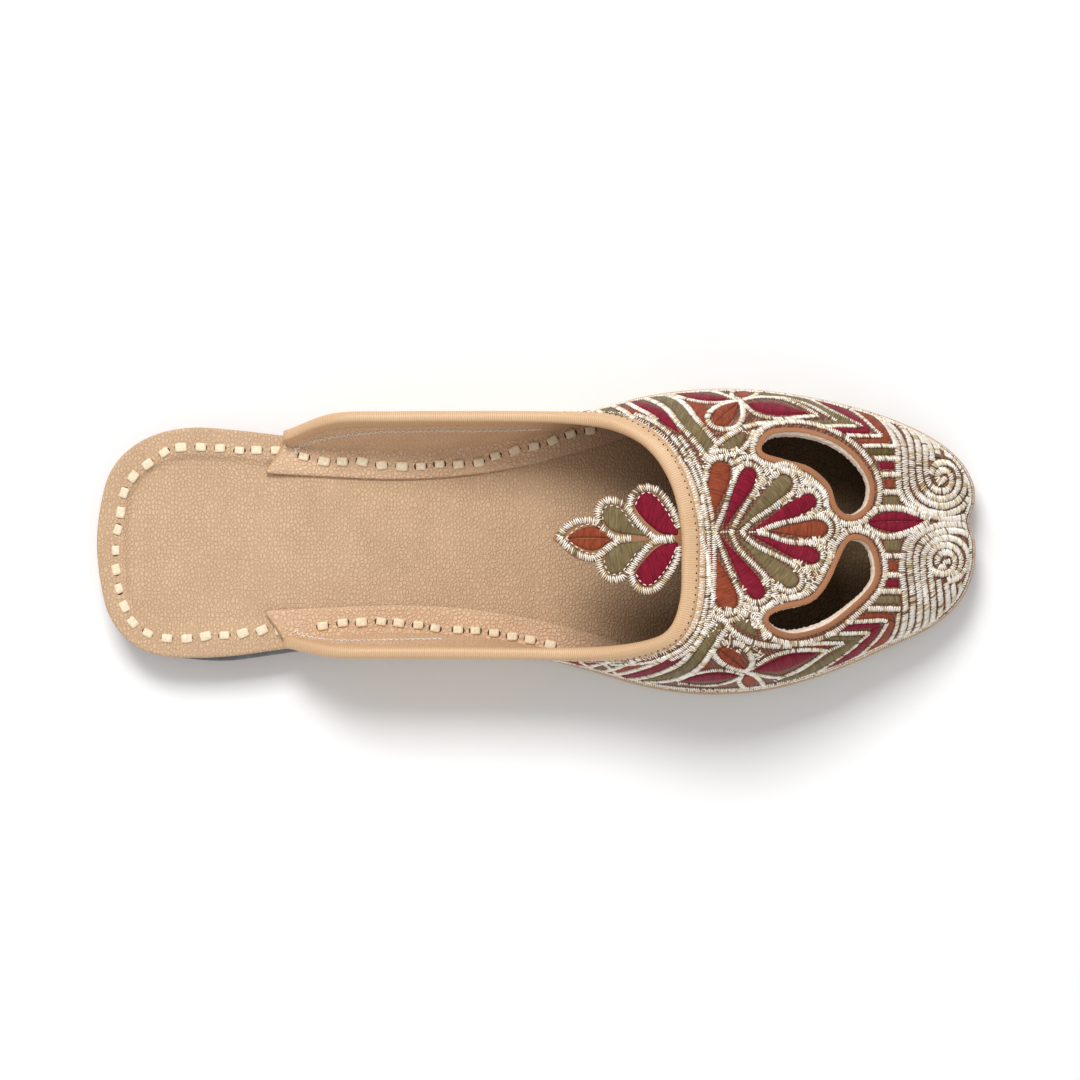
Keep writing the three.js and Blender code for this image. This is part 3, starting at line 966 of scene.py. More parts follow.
@dataclass(frozen=True)
class Chart:
    """The view that the embroidery is laid out in: looking down from an eye at a level plane.

    A chart point is s and y on the plane. It stands for the spot on the shoe that the eye sees there.
    """

    eye: Triple = (128.4, -42.3, 900.0)
    plane: float = 13.0

    def sight(self, points: Array) -> Array:
        """Directions in which the eye sees chart points."""
        target = np.column_stack([points[:, :2], np.full(len(points), self.plane)])
        return unit(target - np.array(self.eye))

    def at_height(self, points: Array, height: float) -> Array:
        """What chart points stand for at one height."""
        eye = np.array(self.eye)
        return eye[:2] + (points[:, :2] - eye[:2]) * (eye[2] - height) / (eye[2] - self.plane)

    def drawn_on(self, spots: Array) -> Array:
        """Chart points of spots in shoe coordinates.

        Args:
            spots: Spots in shoe coordinates.

        Returns:
            Their chart points.
        """
        eye = np.array(self.eye)
        share = (eye[2] - self.plane) / (eye[2] - spots[:, 2])
        return eye[:2] + (spots[:, :2] - eye[:2]) * share[:, None]


CHART = Chart()
MISS_HEIGHT = 20.0


class Surface:
    """A triangulated skin in shoe coordinates that points can be put on."""

    def __init__(self, points: Array, faces: list[tuple[int, ...]]) -> None:
        """Index the skin.

        Args:
            points: Its points.
            faces: Its four-sided faces, as point numbers.
        """
        quads = np.array(faces)
        self.points, self.faces = points, np.concatenate([quads[:, [0, 1, 2]], quads[:, [0, 2, 3]]])
        corners = points[self.faces]
        flat = np.cross(corners[:, 1] - corners[:, 0], corners[:, 2] - corners[:, 0])
        normals = np.zeros_like(points)
        for k in range(3):
            np.add.at(normals, self.faces[:, k], flat)
        self.normals = unit(normals)
        self.tree = BVHTree.FromPolygons(points.tolist(), self.faces.tolist(), epsilon=0.0)

    def eased_normals(self, spots: Array, hit: Array) -> Array:
        """Outward directions, eased between the corners of the triangles that were hit.

        Args:
            spots: Spots on the skin.
            hit: Number of the triangle that each lies in.

        Returns:
            One direction a spot.
        """
        a, b, c = (self.points[self.faces[hit, k]] for k in range(3))
        whole = np.cross(b - a, c - a)
        area = np.maximum((whole * whole).sum(1), 1e-12)
        parts = [(np.cross(p - spots, q - spots) * whole).sum(1) / area for p, q in ((b, c), (c, a), (a, b))]
        return unit(sum(self.normals[self.faces[hit, k]] * parts[k][:, None] for k in range(3)))

    def seen(self, chart: Array) -> Spots:
        """Spots that chart points stand for. Beyond the silhouette the nearest spot is used.

        Args:
            chart: Points of the chart.

        Returns:
            The spots and the outward directions there.
        """
        eye, spots, hit = Vector(CHART.eye), [], []
        for direction in CHART.sight(chart).tolist():
            ray = Vector(direction)
            spot, _, face, _ = self.tree.ray_cast(eye, ray)
            if spot is None:
                near = eye + ray * ((MISS_HEIGHT - CHART.eye[2]) / direction[2])
                spot, _, face, _ = self.tree.find_nearest(near)
            spots.append(tuple(spot))
            hit.append(face)
        spots = np.array(spots)
        return spots, self.eased_normals(spots, np.array(hit))


# Sole


def heel_edge(front: float, inset: float, flare: float = 0.0) -> Array:
    """Outline of a heel piece, closed by a straight breast.

    Args:
        front: Length at which it ends.
        inset: How far it stands back from the sole's outline.
        flare: How far its outer side spreads past the outline.

    Returns:
        Its edge in order.
    """
    rows = np.linspace(0, 20, 2001)
    last = float(np.interp(front, FORM.edge(rows)[:, 0], rows))
    side = np.linspace(0, last, 110)
    inner = FORM.inward(FORM.edge(side), inset)
    outer = FORM.inward(FORM.edge(-side[1:]), inset)[::-1]
    spread = smooth(18, 40, outer[:, 0]) * (1 - smooth(52, 78, outer[:, 0]))
    outer[:, 1] -= flare * spread
    breast = [mix(inner[-1], outer[0], t) for t in np.linspace(0, 1, 30)[1:-1]]
    return np.concatenate([inner, breast, outer])


Height = Callable[[Array, float], Array]


@dataclass(frozen=True)
class Slab:
    """A layer of the sole with rounded edges, meshed in rings from its edge to the spine."""

    edge: Array
    top: Height
    bottom: Height
    rounding: float
    rings: Line = (20.0, 14.0, 9.0, 5.0, 2.0)
    past_spine: float = 1e6
    under_uv: float = 10.0

    def data(self) -> MeshData:
        """Its points and faces. V is the distance in from the edge, with the underside set apart.

        Returns:
            The layer's mesh data.
        """
        turns = np.linspace(0, QUARTER_TURN, 6)
        corner = [(self.rounding * (1 - math.sin(a)), self.rounding * (1 - math.cos(a))) for a in turns]
        steps = [(ring, 0.0) for ring in (self.past_spine, *self.rings)] + corner
        lap = run_lengths(self.edge)
        points, uvs = [], []
        for height, turned, side in ((self.top, -1, steps), (self.bottom, 1, steps[::-1])):
            for inset, drop in side:
                flat = FORM.inward(self.edge, inset)
                points.append(np.column_stack([flat, height(flat, inset) + turned * drop]))
                v = -inset if turned < 0 else -self.under_uv - inset
                uvs.append(np.column_stack([lap, np.full(len(lap), v)]))
        return MeshData(np.concatenate(points), grid_faces(len(points), len(lap)), np.concatenate(uvs))


@dataclass
class Sole:
    """Heel lift, outsole, wedge and footbed."""

    lift_front: float = 58.0
    lift_inset: float = 1.2
    wedge_front: float = 105.0
    wedge_inset: float = 0.3
    wedge_flare: float = 1.5
    edge_step: float = 0.1
    merge: float = 0.01
    dish_depth: float = 1.5
    dish_edge: float = 7.0
    dish_slope: float = 2.8
    dish_front: tuple[float, float] = (40.0, 62.0)
    press_depth: float = 0.3
    press_radius: float = 1.6
    seat_rings: Line = (
        25.0, 20.0, 16.0, 13.0, 11.0, 9.8, 9.0, 8.2, 7.4, 6.6, 5.8, 5.0, 4.2, 3.4, 2.6, 1.8, 1.0,
    )
    lift_finish: LayeredFinish = LayeredFinish("lift_rubber", (150, 66, 48), (104, 40, 30), 0.7)
    sole_finish: LayeredFinish = LayeredFinish("sole_edge", (198, 166, 112), (122, 94, 56), 0.9)
    wedge_finish: LayeredFinish = LayeredFinish("wedge_layers", (150, 155, 157), (110, 115, 118), 1.2, 0.1)
    # The footbed darkens towards the toe with painted shade, for the shadow under the vamp; its rim stays
    # clear.
    footbed_finish: LeatherFinish = LeatherFinish(
        "footbed_leather", (216, 181, 145), (188, 153, 120), 1.3, 0.24, 0.46, (1.35, 1.0, 1.0),
        painted_shade_from=8.0, painted_shade_inset=2.6,
    )

    def dish(self, flat: Array, inset: float) -> Array:
        """Hollow of the heel seat inside its stitched rim."""
        inside = smooth(self.dish_edge, self.dish_edge + self.dish_slope, inset)
        return self.dish_depth * inside * (1 - smooth(*self.dish_front, flat[:, 0]))

    def pressed(self, points: Array, stitches: Array) -> Array:
        """How far the leather is drawn down beside the thong stitches.

        Args:
            points: Points of the footbed.
            stitches: Where the stitches are.

        Returns:
            One depth a point.
        """
        drop = np.zeros(len(points))
        for spot in stitches:
            gap = np.linalg.norm(points[:, :2] - spot[:2], axis=1) / self.press_radius
            drop = np.maximum(drop, np.exp(-gap * gap))
        return self.press_depth * drop

    def footbed(self, edge: Array, stitches: Array) -> MeshData:
        """The footbed with its dish and the dents of its stitches.

        Args:
            edge: The sole's outline.
            stitches: Where the stitches are.

        Returns:
            Its mesh data.
        """
        data = Slab(
            edge, lambda p, i: FORM.footbed_top(p[:, 0]) - self.dish(p, i),
            lambda p, i: FORM.footbed_bottom(p[:, 0]), 0.8, self.seat_rings,
        ).data()
        half = len(data.points) // 2
        data.points[:half, 2] -= self.pressed(data.points[:half], stitches)
        return data

    def build(self, stitches: Array) -> Surface:
        """Make the four pieces.

        Args:
            stitches: Where the thong stitches draw the footbed down.

        Returns:
            The footbed as a surface to stitch on.
        """
        edge = FORM.edge(np.arange(0, FORM.rows, self.edge_step))
        lift = Slab(
            heel_edge(self.lift_front, self.lift_inset), lambda p, i: np.full(len(p), FORM.lift),
            lambda p, i: np.zeros(len(p)), 0.5,
        ).data()
        outsole = Slab(
            edge, lambda p, i: FORM.outsole_top(p[:, 0]), lambda p, i: FORM.outsole_bottom(p[:, 0]), 0.7,
        ).data()
        wedge = Slab(
            heel_edge(self.wedge_front, self.wedge_inset, self.wedge_flare),
            lambda p, i: FORM.footbed_bottom(p[:, 0]) - FORM.gap,
            lambda p, i: FORM.outsole_top(p[:, 0]) + FORM.gap, 0.15,
        ).data()
        footbed = self.footbed(edge, stitches)
        for name, slot, node, data, finish in (
            ("lift_shaped", "heel_lift", "heel_lift", lift, self.lift_finish),
            ("outsole_shaped", "sole_leather", "outsole", outsole, self.sole_finish),
            ("wedge_shaped", "heel_wedge", "heel_wedge", wedge, self.wedge_finish),
            ("footbed_cover", "footbed_leather", "footbed", footbed, self.footbed_finish),
        ):
            Piece(name, slot, data, [finish.build()], (node,), self.merge).build()
        return Surface(footbed.points, footbed.faces)


# Upper


@dataclass(frozen=True)
class Opening:
    """A crescent hole through the vamp, drawn on the chart and cut square to the vamp's face."""

    name: str
    corners: Line
    outset: float = 0.6
    above: float = 5.0
    below: float = 6.0

    def outline(self, outset: float = 0.0, step: float = 0.4) -> Array:
        """The hole's edge on the chart, or a line that far outside it.

        Args:
            outset: Distance outside the edge.
            step: Distance between the points.

        Returns:
            The closed line.
        """
        flat = drawn(self.corners, step, closed=True)
        area = (flat[:-1, 0] * flat[1:, 1] - flat[1:, 0] * flat[:-1, 1]).sum()
        return beside(flat, -math.copysign(self.outset + outset, area))[:-1]

    def cutter(self, wall: Surface) -> bpy.types.Object:
        """A solid that cuts the hole out of the wall.

        Args:
            wall: The face that the hole is drawn on.

        Returns:
            The solid, still in the scene.
        """
        spots, ups = wall.seen(self.outline())
        ends = np.concatenate([spots - ups * self.below, spots + ups * self.above])
        name = "cutter_" + self.name
        return new_object(name, MeshData(ends, tube_faces(2, len(spots))).mesh(name))


OPENINGS = (
    Opening("inner", (
        193.4, 26.9, 196.0, 30.9, 202.8, 31.6, 209.2, 30.4, 215.4, 27.5, 220.5, 22.8, 223.6, 16.8,
        222.8, 11.2, 218.8, 8.4, 215.3, 10.6, 212.9, 17.1, 207.1, 22.3, 199.4, 24.7,
    )),
    Opening("outer", (
        195.2, -21.9, 196.8, -24.4, 201.4, -25.9, 207.2, -24.9, 212.3, -22.7, 218.1, -18.2, 222.3, -14.2,
        224.8, -10.4, 225.0, -6.1, 223.9, -2.3, 221.6, 0.0, 218.3, -0.3, 215.4, -5.8, 212.8, -11.5,
        209.3, -16.3, 205.1, -18.6, 198.8, -20.0,
    )),
)


@dataclass
class Upper:
    """Quarters and vamp in one shell, turned in on the footbed, with two crescent openings."""

    row_step: float = 0.1
    outer_steps: int = 64
    inner_steps: int = 34
    margin_steps: int = 12
    merge: float = 0.002
    tucked: float = 1.2
    margin_width: tuple[float, float] = (7.5, 4.5)
    margin_rows: tuple[float, float] = (12.0, 20.0)
    rear_reach: float = 6.0
    rear_spread: float = 0.5
    fold_spread: float = 3.5
    fold_rounds: int = 14
    lip_drop: float = 0.45
    lip_inset: float = 0.3
    band_width: float = 1.6
    band_height: float = 0.18
    edge_proud: float = 0.25
    edge_layer: float = 0.12
    edge_ripple: float = 0.09
    cloth: WovenFinish = WovenFinish("upper_cloth", (168, 112, 82), (92, 52, 36))
    # The lining darkens towards the toe with painted shade, for the shadow inside the vamp and its openings.
    lining: LeatherFinish = LeatherFinish(
        "lining_leather", (234, 197, 162), (200, 163, 128), 1.2, 0.28, painted_shade_from=6.0,
    )
    quarter: LeatherFinish = LeatherFinish("quarter_leather", (206, 166, 120), (170, 130, 88))
    band: LeatherFinish = LeatherFinish("opening_band", (182, 124, 84), (146, 92, 58), 0.5)
    raw: LayeredFinish = LayeredFinish("raw_edge", (255, 250, 240), (216, 178, 146), 0.45, 0.3, 0.75)

    def outer_face(self, row: float) -> tuple[Array, Array]:
        """Angles down one rib from under the binding, and its points there.

        Args:
            row: Row of the rib.

        Returns:
            The angles and the points.
        """
        start = float(FORM.rib_angles(row, np.array([FORM.binding_at(row) - self.tucked]))[0])
        angles = start + (QUARTER_TURN - start) * np.linspace(0, 1, self.outer_steps)
        return angles, FORM.face(np.full(self.outer_steps, row), angles)

    def section(self, row: float) -> tuple[Array, Array]:
        """One rib's outer face, then its margin and inner face as one eased line.

        Args:
            row: Row of the rib.

        Returns:
            The outer face from the top down, and the rest from the margin's lip up.
        """
        angles, outer = self.outer_face(row)
        take = np.round(np.linspace(0, self.outer_steps - 1, self.inner_steps)).astype(int)
        rows = np.full(self.inner_steps, row)
        inner = outer[take] - FORM.normal(rows, angles[take]) * FORM.wall
        side = float(FORM.side(row))
        width = mix(*self.margin_width, float(smooth(*self.margin_rows, side)))
        root = np.append(FORM.inward(outer[-1:], FORM.wall)[0], outer[-1, 2] + FORM.margin)
        inner[:, 2] = np.maximum(inner[:, 2], root[2])
        inner[-1] = root
        tip = FORM.inward(outer[-1:], FORM.wall + width)[0]
        tip[0] -= self.rear_reach * math.exp(-((side - FORM.first_row) / self.rear_spread) ** 2)
        rest = float(FORM.footbed_top(tip[0])) + FORM.gap * 0.3
        flange = np.linspace(root, np.append(tip, rest + FORM.margin), self.margin_steps)
        line = np.concatenate([inner, flange[1:]])
        from_fold = np.arange(len(line)) - self.inner_steps + 1
        fold = np.exp(-(from_fold / self.fold_spread) ** 2)[:, None]
        for _ in range(self.fold_rounds):
            line[1:-1] += 0.5 * fold[1:-1] * ((line[:-2] + line[2:]) / 2 - line[1:-1])
        lip = line[-1] + np.array([[0, 0, 0], [0, 0, -self.lip_drop], [0, 0, -FORM.margin]])
        lip[1, :2] = FORM.inward(lip[1:2], self.lip_inset)[0]
        return outer, np.concatenate([line[:-1], lip])[::-1]

    def shell(self) -> tuple[MeshData, Surface, Surface]:
        """The shell without its openings, and its outer and inner faces as surfaces.

        Returns:
            Its mesh data, the outer face and the inner face.
        """
        rows = np.arange(FORM.first_row, FORM.rows - FORM.first_row + 1e-6, self.row_step)
        sections = [self.section(row) for row in rows]
        outer, inner = (np.array(side) for side in zip(*sections))
        whole = np.concatenate([outer, inner], axis=1)
        count = whole.shape[1]
        faces = grid_faces(len(rows), count)
        for start in (0, (len(rows) - 1) * count):
            for j in range(count // 2 - 1):
                far = count - 1 - j
                faces.append((start + j, start + j + 1, start + far - 1, start + far))
        wall, inside = (
            Surface(side.reshape(-1, 3), grid_faces(len(rows), side.shape[1], wrapped=False))
            for side in (outer, inner)
        )
        return MeshData(whole.reshape(-1, 3), faces), wall, inside

    def build(self) -> tuple[Surface, Surface]:
        """Make the shell, cut it, and edge its openings.

        Returns:
            The outer face and the inner face, uncut.
        """
        data, wall, inside = self.shell()
        raw, band = self.raw.build(), self.band.build()
        materials = [self.cloth.build(), self.lining.build(), self.quarter.build(), raw]
        made = Piece("upper_shell", "upper_cloth", data, materials, ("upper",), self.merge).build()
        self.paint(made.data)
        cutters = [opening.cutter(wall) for opening in OPENINGS]
        for cutter in cutters:
            cut = made.modifiers.new(cutter.name, "BOOLEAN")
            cut.operation, cut.solver, cut.object = "DIFFERENCE", "EXACT", cutter
        evaluated = made.evaluated_get(bpy.context.evaluated_depsgraph_get())
        made.data = bpy.data.meshes.new_from_object(evaluated)
        made.modifiers.clear()
        for cutter in cutters:
            bpy.data.objects.remove(cutter)
        for opening in OPENINGS:
            self.edge_opening(opening, wall, raw, band)
        return wall, inside

    def paint(self, mesh: bpy.types.Mesh) -> None:
        """Give each face its material: cloth in front, leather behind, lining inside.

        Args:
            mesh: The shell, whose materials are cloth, lining and leather, in that order.
        """
        count = len(mesh.polygons)
        centres, normals = np.empty(count * 3), np.empty(count * 3)
        mesh.polygons.foreach_get("center", centres)
        mesh.polygons.foreach_get("normal", normals)
        centres = centres.reshape(-1, 3) / MM + np.array([-FORM.heel_x, FORM.centre_y, 0])
        middle = FORM.spine(np.minimum(centres[:, 0], 176.0))
        away = np.column_stack([centres[:, :2] - middle, centres[:, 2] - 20])
        outward = (normals.reshape(-1, 3) * away).sum(1) > 0
        back = np.zeros(count, bool)
        for row, near in ((CLOTH_ROWS[0], centres[:, 1] > 0), (CLOTH_ROWS[1], centres[:, 1] <= 0)):
            rib = FORM.rib(row, 60)[1][::-1]
            back |= near & (centres[:, 0] < np.interp(centres[:, 2], rib[:, 2], rib[:, 0]))
        mesh.polygons.foreach_set("material_index", np.where(outward, np.where(back, 2, 0), 1))

    def edge_opening(
        self, opening: Opening, wall: Surface, raw: bpy.types.Material, band: bpy.types.Material,
    ) -> None:
        """Line a hole with its raw layered edge and the turned leather band round it.

        Args:
            opening: The hole.
            wall: The upper's outer face.
            raw: Finish of the raw edge.
            band: Finish of the band.
        """
        rim, up = wall.seen(opening.outline())
        outside, _ = wall.seen(opening.outline(1.0))
        count, hole = len(rim), square_to(rim - outside, up)
        under = rim - up * (FORM.wall + 0.3)
        shares = np.linspace(0, 1, 9)
        ripple = np.random.default_rng(5).normal(0, self.edge_ripple, (len(shares), count))
        rings = []
        for k, share in enumerate(shares):
            push = np.full(count, -0.1)
            if 0 < share < 1:
                swell = self.edge_proud * math.sin(math.pi * share) ** 0.5
                push = swell + (self.edge_layer * math.cos(share * 4.5 * math.pi) + ripple[k])
            rings.append(mix(rim, under, share) + hole * push[:, None])
        uv = np.column_stack([np.tile(np.arange(count) * 0.4, len(shares)), np.repeat(shares * 2, count)])
        edge = MeshData(np.concatenate(rings), grid_faces(len(shares), count), uv)
        Piece(f"{opening.name}_raw_edge", "upper_cloth", edge, [raw]).build()

        away, width = square_to(-hole, up), self.band_width
        profile = ((-0.15, -0.3), (-0.1, 0.6), (0.25, 1.0), (width - 0.3, 1.0), (width, -0.5))
        rings = [rim + away * reach + up * lift * self.band_height for reach, lift in profile]
        border = MeshData(np.concatenate(rings), grid_faces(len(rings), count))
        Piece(f"{opening.name}_band", "binding_leather", border, [band]).build()


@dataclass
class Binding:
    """Leather rolled over the upper's top edge."""

    thickness: float = 3.4
    proud: float = 0.6
    row_step: float = 0.1
    arch_steps: int = 13
    down: tuple[float, float, float, float] = (1.0, 0.75, 0.5, 0.3)
    bulge: tuple[float, float, float, float] = (-0.25, 0.05, 0.0, 0.0)
    finish: RolledLeatherFinish = RolledLeatherFinish("binding_leather", (222, 186, 146), (198, 158, 118))

    def section(self, row: float) -> Array:
        """Points round one section, from low on the outside over the top to low inside.

        Args:
            row: Row of the rib.

        Returns:
            The points.
        """
        angles = FORM.rib_angles(row, FORM.binding_at(row) * np.array(self.down))
        rows = np.full(len(angles), row)
        face, out = FORM.face(rows, angles), FORM.normal(rows, angles)
        top, top_out = face[-1], out[-1]
        crest = FORM.face(np.array([row]), np.array([0.0]))[0]
        rise = unit(crest - top) * (np.linalg.norm(crest - top) + self.proud * 0.4)
        middle = top + top_out * (self.proud - self.thickness / 2)
        turns = np.linspace(0, math.pi, self.arch_steps + 2)[1:-1]
        half = top_out * self.thickness / 2
        arch = [middle + half * math.cos(t) + rise * math.sin(t) ** 0.8 for t in turns]
        bulge = np.array(self.bulge)[:, None]
        outside = face + out * (self.proud + bulge)
        inside = (face + out * (self.proud - self.thickness - bulge))[::-1]
        return np.concatenate([outside, [top + top_out * self.proud], arch, inside])

    def build(self) -> None:
        """Make the binding."""
        rows = np.arange(FORM.first_row, FORM.rows - FORM.first_row + 1e-6, self.row_step)
        sections = np.array([self.section(row) for row in rows])
        count = sections.shape[1]
        along = run_lengths(sections[:, count // 2])
        round_it = np.linspace(0, 12, count)
        uv = np.column_stack([np.repeat(along, count), np.tile(round_it, len(rows))])
        data = MeshData(sections.reshape(-1, 3), tube_faces(len(rows), count), uv)
        Piece("binding_roll", "binding_leather", data, [self.finish.build()], ("topline_binding",)).build()


# Stitches by geometry nodes


class Layout(Enum):
    """How stitches are laid: side by side along a path, or one on each given point."""

    ALONG_PATH = "along_path"
    AT_POINTS = "at_points"


class Grain(Enum):
    """Shape of one stitch."""

    STRAND = "strand"
    THONG = "thong"


@dataclass
class Lay:
    """Paths or points on the shoe, with the outward direction and the stitch size at each."""

    points: list[Array] = field(default_factory=list)
    ups: list[Array] = field(default_factory=list)
    alongs: list[Array] = field(default_factory=list)
    sizes: list[Array] = field(default_factory=list)

    def add(self, points: Array, ups: Array, along: Array, size: Triple) -> None:
        """Add one path, or one batch of points.

        Args:
            points: Spots on the shoe.
            ups: Outward directions there.
            along: Directions in which the stitches lie.
            size: Length along, width across and height of a stitch.
        """
        self.points.append(points)
        self.ups.append(ups)
        self.alongs.append(along)
        self.sizes.append(np.broadcast_to(np.array(size, float), (len(points), 3)))

    def mesh(self, name: str, chained: bool) -> bpy.types.Mesh:
        """The points as a mesh with named attributes.

        Args:
            name: Name of the mesh.
            chained: Whether edges join the points of each batch to a path.

        Returns:
            The mesh.
        """
        edges, start = [], 0
        for part in self.points:
            edges += [(start + i, start + i + 1) for i in range(len(part) - 1)] if chained else []
            start += len(part)
        mesh = bpy.data.meshes.new(name)
        mesh.from_pydata(FORM.place(np.concatenate(self.points)).tolist(), edges, [])
        layers = {"up": self.ups, "along": self.alongs, "size": [s * MM for s in self.sizes]}
        for label, parts in layers.items():
            attribute = mesh.attributes.new(label, "FLOAT_VECTOR", "POINT")
            attribute.data.foreach_set("vector", np.concatenate(parts).astype(np.float32).ravel())
        return mesh


class StitchTree(Graph):
    """The node tree that lays a stitch on each point of a mesh or along each of its lines."""

    def __init__(self, layout: Layout, grain: Grain) -> None:
        """Start the tree with its inputs.

        Args:
            layout: How the stitches are laid.
            grain: Shape of one stitch.
        """
        name = f"{grain.value}_{layout.value}"
        super().__init__(bpy.data.node_groups.new(name, "GeometryNodeTree"))
        self.layout, self.grain = layout, grain
        kinds = {"Geometry": "Geometry", "Pitch": "Float", "Slant": "Float", "Jitter": "Float",
                 "Seed": "Int", "Material": "Material"}
        for label, kind in kinds.items():
            self.tree.interface.new_socket(label, in_out="INPUT", socket_type="NodeSocket" + kind)
        self.tree.interface.new_socket("Geometry", in_out="OUTPUT", socket_type="NodeSocketGeometry")
        self.given = self.add("NodeGroupInput").outputs

    def named(self, label: str) -> bpy.types.NodeSocket:
        """A direction or size that the points carry."""
        read = self.add("GeometryNodeInputNamedAttribute", {"Name": label}, data_type="FLOAT_VECTOR")
        return read.outputs[0]

    def random(self, low: float, high: float, step: int) -> bpy.types.NodeSocket:
        """A random number for each stitch, from the seed and a step of its own."""
        seed = self.math("ADD", self.given["Seed"], float(step))
        return self.add("FunctionNodeRandomValue", {2: low, 3: high, 8: seed}, data_type="FLOAT").outputs[1]

    def stitch(self) -> bpy.types.NodeSocket:
        """One stitch, a millimetre or so long each way before it is scaled.

        Returns:
            The output that gives its geometry.
        """
        if self.grain is Grain.STRAND:
            return self.add("GeometryNodeMeshUVSphere", {"Segments": 6, "Rings": 4, "Radius": 0.5}).outputs[0]
        cube = self.add("GeometryNodeMeshCube", {"Size": (1.15, 1.15, 1.15)}).outputs[0]
        soft = {"Mesh": cube, "Level": 2, "Edge Crease": 0.45}
        return self.add("GeometryNodeSubdivisionSurface", soft).outputs[0]

    def turned(self, along: Plug) -> bpy.types.NodeSocket:
        """How each stitch lies: along its direction, slanted, and turned a little at random.

        Args:
            along: The direction it follows.

        Returns:
            The output that gives its rotation.
        """
        axes = {"Primary Axis": self.named("up"), "Secondary Axis": along}
        turn = self.add("FunctionNodeAxesToRotation", axes, primary_axis="Z", secondary_axis="X").outputs[0]
        swing = self.math("MULTIPLY", self.random(-1.0, 1.0, 11), self.given["Jitter"])
        swing = self.math("ADD", swing, self.given["Slant"])
        about_up = self.add("ShaderNodeCombineXYZ", {"Z": swing}).outputs[0]
        twist = self.add("FunctionNodeEulerToRotation", {0: about_up}).outputs[0]
        return self.add("FunctionNodeRotateRotation", {0: turn, 1: twist}, rotation_space="LOCAL").outputs[0]

    def build(self) -> bpy.types.NodeTree:
        """Wire the tree.

        Returns:
            The finished tree.
        """
        spots, along = self.given["Geometry"], self.named("along")
        if self.layout is Layout.ALONG_PATH:
            path = self.add("GeometryNodeMeshToCurve", {0: spots}).outputs[0]
            cut = {"Curve": path, "Length": self.given["Pitch"]}
            spots = self.add("GeometryNodeResampleCurve", cut, mode="LENGTH").outputs[0]
            along = self.add("GeometryNodeInputTangent").outputs[0]
        sized = {0: self.named("size"), "Scale": self.random(0.88, 1.1, 23)}
        scale = self.add("ShaderNodeVectorMath", sized, operation="SCALE").outputs[0]
        inputs = {"Points": spots, "Instance": self.stitch(), "Rotation": self.turned(along), "Scale": scale}
        laid = self.add("GeometryNodeInstanceOnPoints", inputs).outputs[0]
        inputs = {"Geometry": laid, "Name": "shade", "Value": self.random(0.0, 1.0, 37)}
        shaded = self.add("GeometryNodeStoreNamedAttribute", inputs, data_type="FLOAT", domain="INSTANCE")
        real = self.add("GeometryNodeRealizeInstances", {0: shaded.outputs[0]}).outputs[0]
        soft = self.add("GeometryNodeSetShadeSmooth", {0: real}).outputs[0]
        inputs = {"Geometry": soft, "Material": self.given["Material"]}
        self.add("NodeGroupOutput", {0: self.add("GeometryNodeSetMaterial", inputs).outputs[0]})
        return self.tree


@dataclass
class Stitching:
    """A piece made of one stitch many times."""

    name: str
    slot: str
    tree: bpy.types.NodeTree
    material: bpy.types.Material
    seed: int
    jitter: float
    pitch: float = 0.6
    slant: float = 0.0

    def build(self, lay: Lay, chained: bool = False) -> None:
        """Lay the stitches and turn them into a plain mesh.

        Args:
            lay: Where they go.
            chained: Whether the points are paths.
        """
        source = new_object(self.name + "_lay", lay.mesh(self.name + "_lay", chained))
        nodes = source.modifiers.new("stitches", "NODES")
        nodes.node_group = self.tree
        values = {"Pitch": self.pitch * MM, "Slant": self.slant, "Jitter": self.jitter,
                  "Seed": self.seed, "Material": self.material}
        for item in self.tree.interface.items_tree:
            if item.item_type == "SOCKET" and item.in_out == "INPUT" and item.name in values:
                nodes[item.identifier] = values[item.name]
        evaluated = source.evaluated_get(bpy.context.evaluated_depsgraph_get())
        mesh = bpy.data.meshes.new_from_object(evaluated)
        mesh.name = self.name
        for label in ("up", "along", "size"):
            if label in mesh.attributes:
                mesh.attributes.remove(mesh.attributes[label])
        source.modifiers.clear()
        bpy.data.objects.remove(source)
        dress(new_object(self.name, mesh))


# Embroidery


class Silk(Enum):
    """Colours of the flat silk."""

    CRIMSON = SatinFinish("crimson_silk", (146, 22, 50), (92, 10, 28), (172, 48, 74))
    RUST = SatinFinish("rust_silk", (158, 76, 48), (112, 46, 28), (182, 104, 74))
    OLIVE = SatinFinish("olive_silk", (138, 120, 84), (88, 74, 46), (172, 156, 120))
    BRONZE = SatinFinish("bronze_silk", (110, 92, 50), (58, 46, 20), (150, 134, 84))
    UMBER = SatinFinish("umber_silk", (112, 62, 44), (66, 32, 24), (140, 88, 66))


@dataclass(frozen=True)
class Thread:
    """What the metal cords and loose stitches are made with."""

    ribs: bpy.types.NodeTree
    spots: bpy.types.NodeTree
    metal: bpy.types.Material
    core: bpy.types.Material


